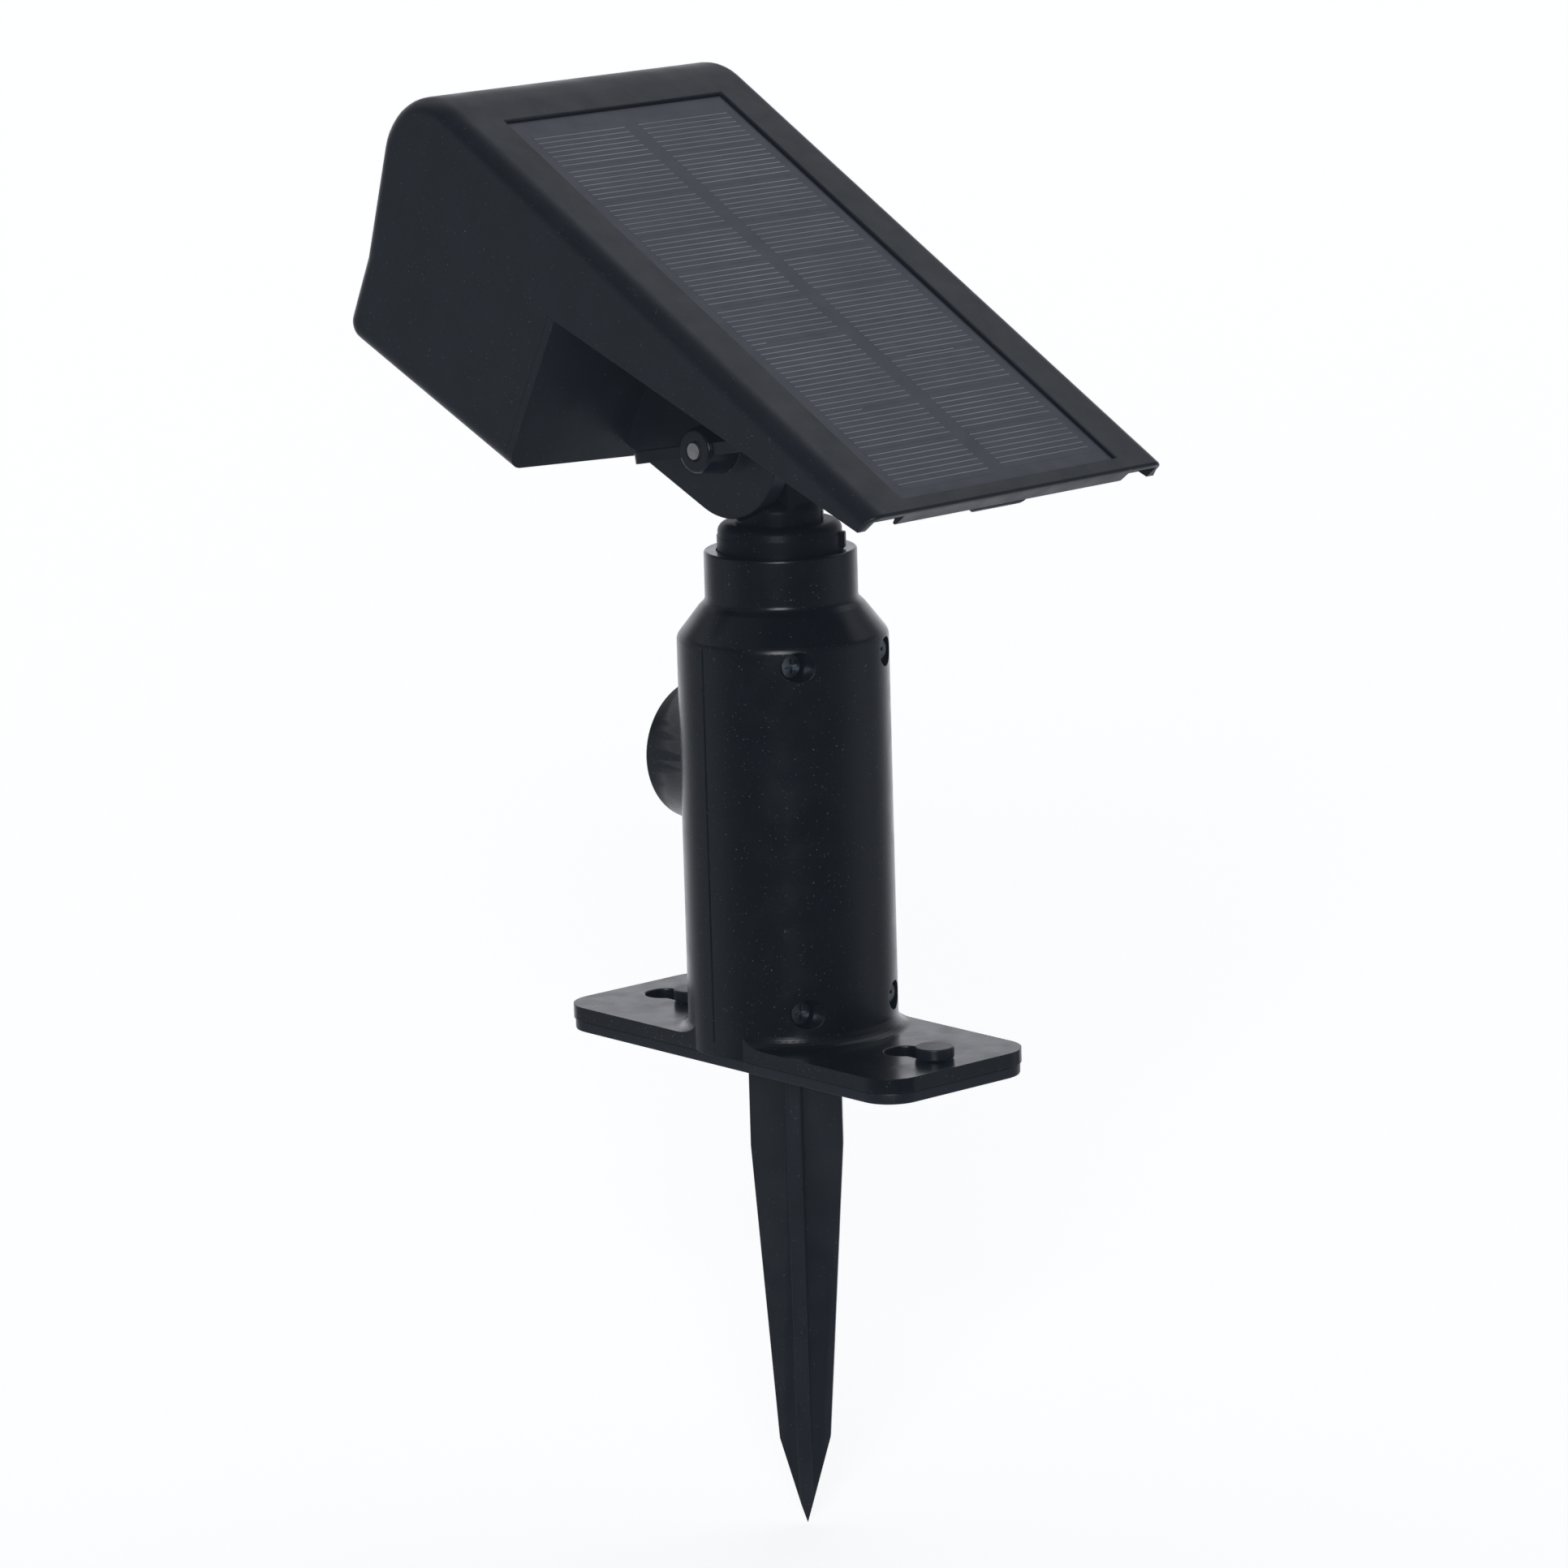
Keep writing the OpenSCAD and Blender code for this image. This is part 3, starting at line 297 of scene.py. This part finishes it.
def spread(tree, value, low, high):
    """Maps a noise value, which mostly stays near its middle, onto a range."""
    ranged = tree.nodes.new("ShaderNodeMapRange")
    for socket, number in zip(RANGE_SOCKETS, (*NOISE_SPAN, low, high)):
        ranged.inputs[socket].default_value = number
    tree.links.new(value, ranged.inputs["Value"])
    return ranged.outputs["Result"]


def tones(tree, value, first, last):
    """Maps a value onto two colours: each end is a place and a colour."""
    ramp = tree.nodes.new("ShaderNodeValToRGB")
    for element, (place, colour) in zip(ramp.color_ramp.elements, (first, last)):
        element.position = place
        element.color = colour
    tree.links.new(value, ramp.inputs["Fac"])
    return ramp.outputs["Color"]


def relief(tree, shader, value, depth, edge=0.0):
    """A bump from a value, on edges that are softened by a small radius."""
    bump = tree.nodes.new("ShaderNodeBump")
    bump.inputs["Distance"].default_value = depth
    tree.links.new(value, bump.inputs["Height"])
    if edge:
        soft = tree.nodes.new("ShaderNodeBevel")
        soft.samples = BEVEL_RAYS
        soft.inputs["Radius"].default_value = edge
        tree.links.new(soft.outputs["Normal"], bump.inputs["Normal"])
    tree.links.new(bump.outputs["Normal"], shader.inputs["Normal"])


def grey(level, warmth=0.0):
    """A near grey: warmth above 0 is warmer, below 0 bluer."""
    return (level * (1 + warmth), level, level * (1 - warmth), 1)


print("a mid grey is", grey(0.5), "and a cool one", grey(0.5, -0.05))

# %% [markdown]
# The shell, post, foot and spike are black ABS with a faint blue cast. Up close it has the fine satin texture
# of a spark-eroded mould and a few pale dust specks. A flat black would look like a hole in the picture: the
# texture breaks up the gloss, and slow changes of roughness keep large faces from looking ruled. The neck is
# duller than the rest, and the wing nut glossier.

# %% Moulded plastics
PLASTIC_IOR = 1.5
PALER = 1.35
ABS_TINT = (0.65, 0.95, 1.4)
SMOKE_TINT = (1, 1, 1.05)


def moulded_plastic(name, level, tint, rough, edge, specks=True, grain_depth=0.008 * MM, shine=0.5):
    """Black moulded plastic: satin grain, slow changes of gloss, and dust specks."""
    material, tree, shader = recipe(name, IOR=PLASTIC_IOR, Specular_IOR_Level=shine)
    dark = (*(level * part for part in tint), 1)
    pale = (*(level * part * PALER for part in tint), 1)
    body = tones(tree, noise(tree, 90, 3), (0.3, dark), (0.7, pale))
    if specks:
        fleck = tones(tree, noise(tree, 2600, 0), (0.80, grey(0)), (0.84, grey(0.09)))
        summed = tree.nodes.new("ShaderNodeMix")
        summed.data_type = "RGBA"
        summed.blend_type = "ADD"
        summed.inputs["Factor"].default_value = 1.0
        tree.links.new(body, summed.inputs["A"])
        tree.links.new(fleck, summed.inputs["B"])
        body = summed.outputs["Result"]
    gloss = spread(tree, noise(tree, 140, 4), rough - 0.05, rough + 0.06)
    feed(tree, shader, Base_Color=body, Roughness=gloss)
    relief(tree, shader, noise(tree, 3200, 2), grain_depth, edge)
    return material


shell_plastic = moulded_plastic("satin_shell_plastic", 0.009, ABS_TINT, 0.38, 0.35 * MM)
post_plastic = moulded_plastic("satin_post_plastic", 0.0045, ABS_TINT, 0.25, 0.3 * MM)
neck_plastic = moulded_plastic("dull_neck_plastic", 0.0045, ABS_TINT, 0.40, 0.3 * MM, shine=0.15)
spike_plastic = moulded_plastic("satin_spike_plastic", 0.011, ABS_TINT, 0.38, 0.25 * MM)
dark_plastic = moulded_plastic("smooth_dark_plastic", 0.008, ABS_TINT, 0.40, 0.25 * MM, specks=False)
nut_plastic = moulded_plastic("glossy_nut_plastic", 0.006, ABS_TINT, 0.22, 0.3 * MM, specks=False,
                              grain_depth=0.003 * MM)
sensor_plastic = moulded_plastic("smoky_sensor_plastic", 0.02, SMOKE_TINT, 0.18, 0.2 * MM, specks=False,
                                 grain_depth=0.002 * MM)
print("plastics:", len([m for m in bpy.data.materials if "plastic" in m.name]))

# %% [markdown]
# Metal shows in few places: the hinge bolt's end in the wing nut, and the screw heads in the post's wells.
# Plated steel is bright with fine turning lines. Lines drawn out along one axis are enough, because these
# parts are millimetres wide.

# %% Metals
WORN = 0.8


def plated_metal(name, colour, rough):
    """Plated or turned metal with fine lines."""
    material, tree, shader = recipe(name, Metallic=1.0)
    worn = (*(part * WORN for part in colour[:3]), 1)
    lines = noise(tree, 900, 2, stretch=(0.15, 1, 1))
    feed(tree, shader,
         Base_Color=tones(tree, noise(tree, 300, 3), (0.35, worn), (0.65, colour)),
         Roughness=spread(tree, lines, rough - 0.06, rough + 0.1))
    relief(tree, shader, lines, 0.006 * MM, 0.15 * MM)
    return material


plated_steel = plated_metal("plated_steel", (0.62, 0.62, 0.63, 1), 0.28)
bolt_zinc = plated_metal("dull_bolt_zinc", (0.88, 0.88, 0.87, 1), 0.50)
well_screw_steel = plated_metal("blackened_screw_steel", (0.32, 0.38, 0.42, 1), 0.34)
turned_brass = plated_metal("turned_brass", (0.75, 0.56, 0.24, 1), 0.3)
print("metals:", plated_steel.name, bolt_zinc.name, well_screw_steel.name, turned_brass.name)

# %% [markdown]
# The hidden pieces get finishes too, because the head can be opened. Seals, washers and the button are matt
# rubber with a dusty bloom. The circuit boards show the weave of their glass cloth through the solder mask,
# which a noise drawn out along one axis suggests.

# %% Rubber and boards
def soft_rubber(name, level):
    """Matt rubber with a dusty bloom."""
    material, tree, shader = recipe(name, IOR=PLASTIC_IOR)
    dust = noise(tree, 250, 4)
    feed(tree, shader,
         Base_Color=tones(tree, dust, (0.35, grey(level, -0.05)), (0.7, grey(level * 1.8, -0.05))),
         Roughness=spread(tree, noise(tree, 400, 3), 0.62, 0.8))
    relief(tree, shader, noise(tree, 2200, 3), 0.015 * MM, 0.2 * MM)
    return material


def coated_board(name, low, high):
    """Circuit board: solder mask with the weave of the glass cloth showing through."""
    material, tree, shader = recipe(name, IOR=PLASTIC_IOR, Coat_Weight=0.4, Coat_Roughness=0.2)
    weave = noise(tree, 1400, 1, stretch=(1, 1, 0.2))
    feed(tree, shader,
         Base_Color=tones(tree, weave, (0.35, low), (0.65, high)),
         Roughness=spread(tree, noise(tree, 500, 2), 0.3, 0.45))
    relief(tree, shader, weave, 0.01 * MM)
    return material


seal_rubber = soft_rubber("seal_rubber", 0.012)
button_rubber = soft_rubber("button_rubber", 0.02)
green_board = coated_board("green_board", (0.006, 0.06, 0.025, 1), (0.012, 0.1, 0.045, 1))
white_board = coated_board("white_board", (0.72, 0.72, 0.69, 1), (0.82, 0.82, 0.79, 1))
print("rubbers and boards:", seal_rubber.name, button_rubber.name, green_board.name, white_board.name)

# %% [markdown]
# The lamp's face shows from the front: yellow emitters in a metallised reflector behind a clear lens. The
# wrapped cell and the chips share the reflector's smooth recipe in other colours.

# %% Lens, reflector, emitters and cell
CLEAR_IOR = 1.49


def clear_plastic(name, tint, alpha, rough):
    """Clear moulded plastic: thin, glossy and slightly uneven."""
    material, tree, shader = recipe(name, IOR=CLEAR_IOR, Alpha=alpha, Base_Color=tint)
    feed(tree, shader, Roughness=spread(tree, noise(tree, 200, 3), rough, rough + 0.08))
    relief(tree, shader, noise(tree, 120, 2), 0.02 * MM, 0.2 * MM)
    return material


def varied_gloss(name, low, high, rough, metallic=0.0):
    """A smooth coloured finish with slow changes of tone."""
    material, tree, shader = recipe(name, IOR=PLASTIC_IOR, Metallic=metallic)
    feed(tree, shader,
         Base_Color=tones(tree, noise(tree, 160, 3), (0.35, low), (0.65, high)),
         Roughness=spread(tree, noise(tree, 350, 3), rough, rough + 0.08))
    relief(tree, shader, noise(tree, 900, 2), 0.006 * MM, 0.2 * MM)
    return material


lens_plastic = clear_plastic("clear_lens_plastic", (0.9, 0.93, 0.95, 1), 0.22, 0.06)
mirror_coat = varied_gloss("mirror_coat", (0.72, 0.72, 0.73, 1), (0.86, 0.86, 0.87, 1), 0.12, metallic=1.0)
phosphor = varied_gloss("emitter_phosphor", (0.85, 0.62, 0.08, 1), (0.95, 0.78, 0.18, 1), 0.3)
cell_wrap = varied_gloss("cell_wrap", (0.03, 0.10, 0.28, 1), (0.05, 0.15, 0.38, 1), 0.25)
chip_plastic = varied_gloss("chip_plastic", (0.012, 0.012, 0.013, 1), (0.02, 0.02, 0.021, 1), 0.45)
print("materials so far:", len(bpy.data.materials))

# %% [markdown]
# Moulded parts have no knife edges: a tool leaves a small radius that catches the light as a thin line. The
# solids have sharp edges, so each piece that shows is rebuilt from its solid with the outward edges rounded.
# First the solid's triangles are joined into whole flat faces, and the edges that stand out sharply are found
# and sorted into groups that touch each other.

# %% Sharp edges of a solid
FLAT = math.radians(0.4)
SHARP = math.radians(32)
SAME_POINT = 0.002 * MM
NEEDLE = 1.5 * MM


def cleaned(node):
    """The solid's mesh as a bmesh with joined points and whole flat faces."""
    bm = bmesh.new()
    bm.from_mesh(frame["nodes"][node].data)
    bmesh.ops.remove_doubles(bm, verts=bm.verts, dist=SAME_POINT)
    bmesh.ops.dissolve_limit(bm, angle_limit=FLAT, verts=bm.verts, edges=bm.edges)
    return bm


def outward_edges(bm, keep_low_point):
    """Edges that stand out sharply; those at a needle point at the bottom can be left out."""
    bottom = min(v.co.z for v in bm.verts) + NEEDLE if keep_low_point else -math.inf
    return [e for e in bm.edges if e.is_manifold and e.calc_face_angle_signed(0) > SHARP
            and min(v.co.z for v in e.verts) > bottom]


def joined(edges, bend=math.pi):
    """Edges that touch each other, as lists. A smaller bend also parts them at corners and forks."""
    left = dict.fromkeys(edges)
    while left:
        run = [left.popitem()[0]]
        for edge in run:
            for vert in edge.verts:
                near = [e for e in vert.link_edges if e in left]
                ways = [e.other_vert(vert).co - vert.co for e in vert.link_edges if e in near or e in run]
                if bend < math.pi and (len(ways) != 2 or ways[0].angle(-ways[1], 0) > bend):
                    continue
                for found in near:
                    del left[found]
                run.extend(near)
        yield run


print("edges stand out sharply above", round(math.degrees(SHARP)), "degrees")

# %% [markdown]
# A bevel modifier would round everything by one width and shrink it all at the tightest spot. So each group of
# edges is rounded by itself, as wide as its own room allows, and a try that tears or folds the mesh is thrown
# away. Where a whole group has no room, it is rounded run by run, from corner to corner.

# %% Rounding that stays sound
WIDTHS = (1.0, 0.6, 0.35)
BEND = math.radians(40)
PLACE_DIGITS = 7
VOLUME_SHARE = 0.01
MOST_COVER = 1.01
TINY_AREA = 1e-11


def round_edges(bm, edges, width):
    """Rounds edges of a mesh, with two facets each."""
    bmesh.ops.bevel(bm, geom=edges, offset=width, offset_type="OFFSET", segments=2, profile=0.5,
                    affect="EDGES", clamp_overlap=True)


def place_of(edge):
    """A name for an edge that outlives a copy of its mesh: its two ends."""
    return frozenset(tuple(round(x, PLACE_DIGITS) for x in v.co) for v in edge.verts)


def is_sound(bm, volume):
    """True if the mesh is closed, has kept its volume, and no face folds over itself."""
    if not all(e.is_manifold for e in bm.edges) or abs(bm.calc_volume() - volume) > VOLUME_SHARE * volume:
        return False
    covered = dict.fromkeys(bm.faces, 0.0)
    for corners in bm.calc_loop_triangles():
        a, b, c = (loop.vert.co for loop in corners)
        covered[corners[0].face] += (b - a).cross(c - a).length / 2
    return all(area <= MOST_COVER * face.calc_area() + TINY_AREA for face, area in covered.items())


def try_rounding(bm, places, edge):
    """Rounds the edges at these places as wide as stays sound. Gives the mesh and whether it worked."""
    for width in WIDTHS:
        trial = bm.copy()
        round_edges(trial, [e for e in trial.edges if place_of(e) in places], edge * width)
        if is_sound(trial, bm.calc_volume()):
            bm.free()
            return trial, True
        trial.free()
    return bm, False


def rounded_mesh(node, edge, keep_low_point):
    """A bmesh of a node with its outward edges rounded: whole groups where that works, else run by run."""
    bm = cleaned(node)
    groups = []
    for group in joined(outward_edges(bm, keep_low_point)):
        runs = [{place_of(e) for e in run} for run in joined(group, BEND)]
        groups.append(({place_of(e) for e in group}, runs))
    done = 0
    for places, runs in groups:
        bm, whole = try_rounding(bm, places, edge)
        done += whole
        if whole:
            continue
        for run in runs:
            bm, worked = try_rounding(bm, run, edge)
            done += worked
    print(node, "rounded", done, "runs of", len(groups), "edge groups")
    return bm


print("an edge is tried at", WIDTHS, "of its width")

# %% [markdown]
# Smooth shading blends the light across faces that meet softly. On large flat faces the blend would bleed in
# from the rims, so a Weighted Normal modifier lets the large faces decide. The post's walls are round, but
# their facets end in odd corners where the boss and the screw wells cut them. There each corner is told the
# direction straight out from the post's axis, so the walls look truly round.

# %% Shading
FACET = math.radians(7)


def smooth_shading(piece):
    """Smooth faces that meet softly, and keep the light even on flat ones."""
    for face in piece.data.polygons:
        face.use_smooth = True
    piece.data.set_sharp_from_angle(angle=SHARP)
    weighted = piece.modifiers.new("flat_faces", "WEIGHTED_NORMAL")
    weighted.keep_sharp = True


def round_wall_shading(piece):
    """Shades round walls about the post's axis as truly round, and the rest as it is."""
    dressed = piece.evaluated_get(bpy.context.evaluated_depsgraph_get()).data
    normals = [Vector(corner.vector) for corner in dressed.corner_normals]
    for face in dressed.polygons:
        for corner in face.loop_indices:
            place = dressed.vertices[dressed.loops[corner].vertex_index].co
            radial = Vector((place.x, place.y, 0)).normalized() * math.sqrt(1 - face.normal.z ** 2)
            radial.z = face.normal.z
            if face.normal.angle(radial, math.pi) < FACET:
                normals[corner] = radial
    piece.modifiers.clear()
    piece.data.normals_split_custom_set(normals)


print("a wall counts as round within", round(math.degrees(FACET)), "degrees of its facets")

# %% [markdown]
# The moulded pieces that show are made now. Each new piece stands for one solid, rides on the same body, and
# keeps the solid's size: rounding only takes a little off its edges. The spike's needle point is left sharp.

# %% Moulded pieces
def rounded_piece(node, body, material, edge, keep_low_point=False):
    """A new piece that stands for a node, with its outward edges rounded."""
    piece = new_object(node + "_moulded", rounded_mesh(node, edge, keep_low_point))
    smooth_shading(piece)
    piece.data.materials.append(material)
    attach(piece, body)
    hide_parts(node)
    return piece


rounded_piece("head_shell", "head", shell_plastic, 0.5 * MM)
rounded_piece("base_cover", "head", shell_plastic, 0.5 * MM)
for half in ("post_front_half", "post_rear_half"):
    round_wall_shading(rounded_piece(half, "post", post_plastic, 0.4 * MM))
rounded_piece("ground_stake", "stake", spike_plastic, 0.4 * MM, keep_low_point=True)
rounded_piece("swivel_neck", "neck", neck_plastic, 0.4 * MM)
rounded_piece("wing_nut", "wing_nut", nut_plastic, 1.1 * MM)

# %% [markdown]
# The panel lies in the head's own tilted frame. That frame is read from the solids: across is the hinge axis,
# out is the way that the panel's film faces, and the origin is on the hinge.

# %% The head's own frame
FACES_UP = 0.5

hinge = next(j for j in frame["joints"] if j["name"] == "head_tilt")
across = Vector(hinge["axis"]).normalized()
film = frame["nodes"]["panel_film"].data
out = max((f for f in film.polygons if f.normal.z > FACES_UP), key=lambda f: f.area).normal.normalized()
tailward = out.cross(across).normalized()
out = across.cross(tailward)
HEAD = Matrix.Translation(hinge["pos_m"]) @ Matrix((across, tailward, out)).transposed().to_4x4()
head_points = [HEAD.inverted() @ v.co for v in film.vertices]
film_low = Vector(min(p[i] for p in head_points) for i in range(3))
film_high = Vector(max(p[i] for p in head_points) for i in range(3))
print("film in the head's frame:", [round(x / MM, 2) for x in (*film_low, *film_high)])

# %% [markdown]
# Under its clear film the panel is a black sheet with blue-grey cells and a printed grid. All of them are seen
# through the same satin film, so one recipe serves them: a dark colour under a clear coat. The sheet is a
# thin block with rounded edges, cut into panes so that no face is very long.

# %% Panel sheet
SHEET_EDGE = 0.16 * MM
PANES = (4, 8)


def sheet_with_edges(low, high):
    """A flat sheet with rounded edges, cut into a few panes."""
    bm = bmesh.new()
    middle, size = (low + high) / 2, high - low
    bmesh.ops.create_cube(bm, size=1, matrix=Matrix.Translation(middle) @ Matrix.Diagonal((*size, 1)))
    round_edges(bm, list(bm.edges), SHEET_EDGE)
    for axis, cuts in enumerate(PANES):
        normal = Vector((0, 0, 0))
        normal[axis] = 1
        for i in range(1, cuts):
            place = low.copy()
            place[axis] += size[axis] * i / cuts
            everything = bm.verts[:] + bm.edges[:] + bm.faces[:]
            bmesh.ops.bisect_plane(bm, geom=everything, plane_co=place, plane_no=normal)
    return bm


def filmed(name, low, high, rough):
    """Something dark seen through the panel's clear satin film."""
    material, tree, shader = recipe(name, IOR=PLASTIC_IOR, Coat_Weight=0.30, Coat_Roughness=0.22)
    feed(tree, shader,
         Base_Color=tones(tree, noise(tree, 45, 4), (0.3, low), (0.7, high)),
         Roughness=spread(tree, noise(tree, 180, 4), rough, rough + 0.12))
    relief(tree, shader, noise(tree, 260, 3), 0.02 * MM)
    return material


panel_black = filmed("panel_black", (0.030, 0.032, 0.054, 1), (0.038, 0.040, 0.066, 1), 0.38)
cell_blue = filmed("cell_blue", (0.036, 0.039, 0.062, 1), (0.046, 0.049, 0.076, 1), 0.38)
finger_print = filmed("printed_finger", (0.20, 0.20, 0.23, 1), (0.36, 0.36, 0.40, 1), 0.35)

panel = new_object("panel_sheet", sheet_with_edges(film_low, film_high))
panel.data.transform(HEAD)
panel.data.materials.append(panel_black)
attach(panel, "head")
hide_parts("panel_film", "solar_cells")
print("panel sheet faces:", len(panel.data.polygons))

# %% [markdown]
# The panel has two columns of ten cells. What shows most is the printed grid: seven thin pale fingers to a
# cell. The cells were laid by hand, so the gaps between them vary. Stripes could be painted by a wave texture,
# but real strips keep their crisp edges in any picture, so each cell is a thin plate and each finger a strip
# on it, a few hundredths of a millimetre proud.

# %% Cells and fingers
FINGERS = 7
FINGER_PITCH = 1.86 * MM
FINGER_W = 0.33 * MM
STRIP_EDGE = 0.06 * MM
PLATE_T = 0.02 * MM
CELL_GAP = 0.2 * MM
CELL_ENDS = 2.2 * MM
COLUMN_IN = 2.4 * MM
COLUMN_OUT = 32.0 * MM
CELL_MIDDLES_MM = {
    1: (-66.3, -52.4, -38.2, -23.9, -9.4, 5.2, 20.0, 32.8, 47.4, 61.7),
    -1: (-66.6, -52.9, -38.4, -24.0, -9.5, 4.6, 17.6, 31.7, 46.5, 60.8),
}
STRAY_FINGERS_MM = ((1, 12.5, 27.0, 32.0), (1, 40.3, 20.0, 32.0), (-1, 25.1, 8.0, 24.0))


def add_strip(bm, x0, x1, y, width, z, thickness):
    """One strip across the panel, with its long edges drawn in."""
    half = width / 2
    flat = half - STRIP_EDGE
    ring = [(y - half, z), (y - flat, z + thickness), (y + flat, z + thickness), (y + half, z)]
    ends = [[bm.verts.new((x, *p)) for p in ring] for x in (x0, x1)]
    for i in range(len(ring)):
        j = (i + 1) % len(ring)
        bm.faces.new((ends[0][i], ends[0][j], ends[1][j], ends[1][i]))
    bm.faces.new(ends[0][::-1])
    bm.faces.new(ends[1])


def head_strips(name, strips, level, material):
    """Strips on the panel: each has a side of the panel, a middle, a width and two ends across."""
    bm = bmesh.new()
    for side, middle, width, near, far in strips:
        x0, x1 = sorted((side * near, side * far))
        add_strip(bm, x0, x1, middle, width, film_high.z + (level - 1) * PLATE_T, 2 * PLATE_T)
    bmesh.ops.recalc_face_normals(bm, faces=bm.faces)
    piece = new_object(name, bm)
    piece.data.transform(HEAD)
    piece.data.materials.append(material)
    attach(piece, "head")
    print(name, len(strips))


cells, fingers = [], []
first_to_middle = (FINGERS - 1) / 2
cell_reach = first_to_middle * FINGER_PITCH + CELL_ENDS
for side, middles in CELL_MIDDLES_MM.items():
    ends = [middles[0] * MM - cell_reach]
    ends += [(p + q) / 2 * MM for p, q in zip(middles, middles[1:])]
    ends += [middles[-1] * MM + cell_reach]
    for start, end in zip(ends, ends[1:]):
        cells.append((side, (start + end) / 2, end - start - CELL_GAP, COLUMN_IN, COLUMN_OUT))
    for middle in middles:
        for k in range(FINGERS):
            place = middle * MM + (k - first_to_middle) * FINGER_PITCH
            fingers.append((side, place, FINGER_W, COLUMN_IN, COLUMN_OUT))
for side, place, near, far in STRAY_FINGERS_MM:
    fingers.append((side, place * MM, FINGER_W, near * MM, far * MM))
head_strips("panel_cells", cells, 0, cell_blue)
head_strips("panel_fingers", fingers, 1, finger_print)

# %% [markdown]
# The other solids keep their shape and take a finish: their edges are hidden or tiny.

# %% Finishes on the solids that stay
KEPT = {
    bolt_zinc: ("hinge_bolt",),
    plated_steel: ("hinge_washer", "cover_screws", "battery_contacts", "sensor_element"),
    well_screw_steel: ("post_screws",),
    turned_brass: ("nut_insert",),
    seal_rubber: ("lens_seal", "swivel_washer"),
    button_rubber: ("mode_button",),
    sensor_plastic: ("sensor_lens",),
    dark_plastic: ("sensor_spacer", "battery_holder", "panel_plate"),
    green_board: ("sensor_board", "control_board", "switch_board"),
    white_board: ("led_board",),
    lens_plastic: ("front_lens",),
    mirror_coat: ("reflector",),
    phosphor: ("leds",),
    cell_wrap: ("battery",),
    chip_plastic: ("board_parts", "mode_switch"),
}
for material, names in KEPT.items():
    for name in names:
        kept = frame["nodes"][name].data
        kept.materials.clear()
        kept.materials.append(material)
print("solids with a finish:", sum(len(names) for names in KEPT.values()))
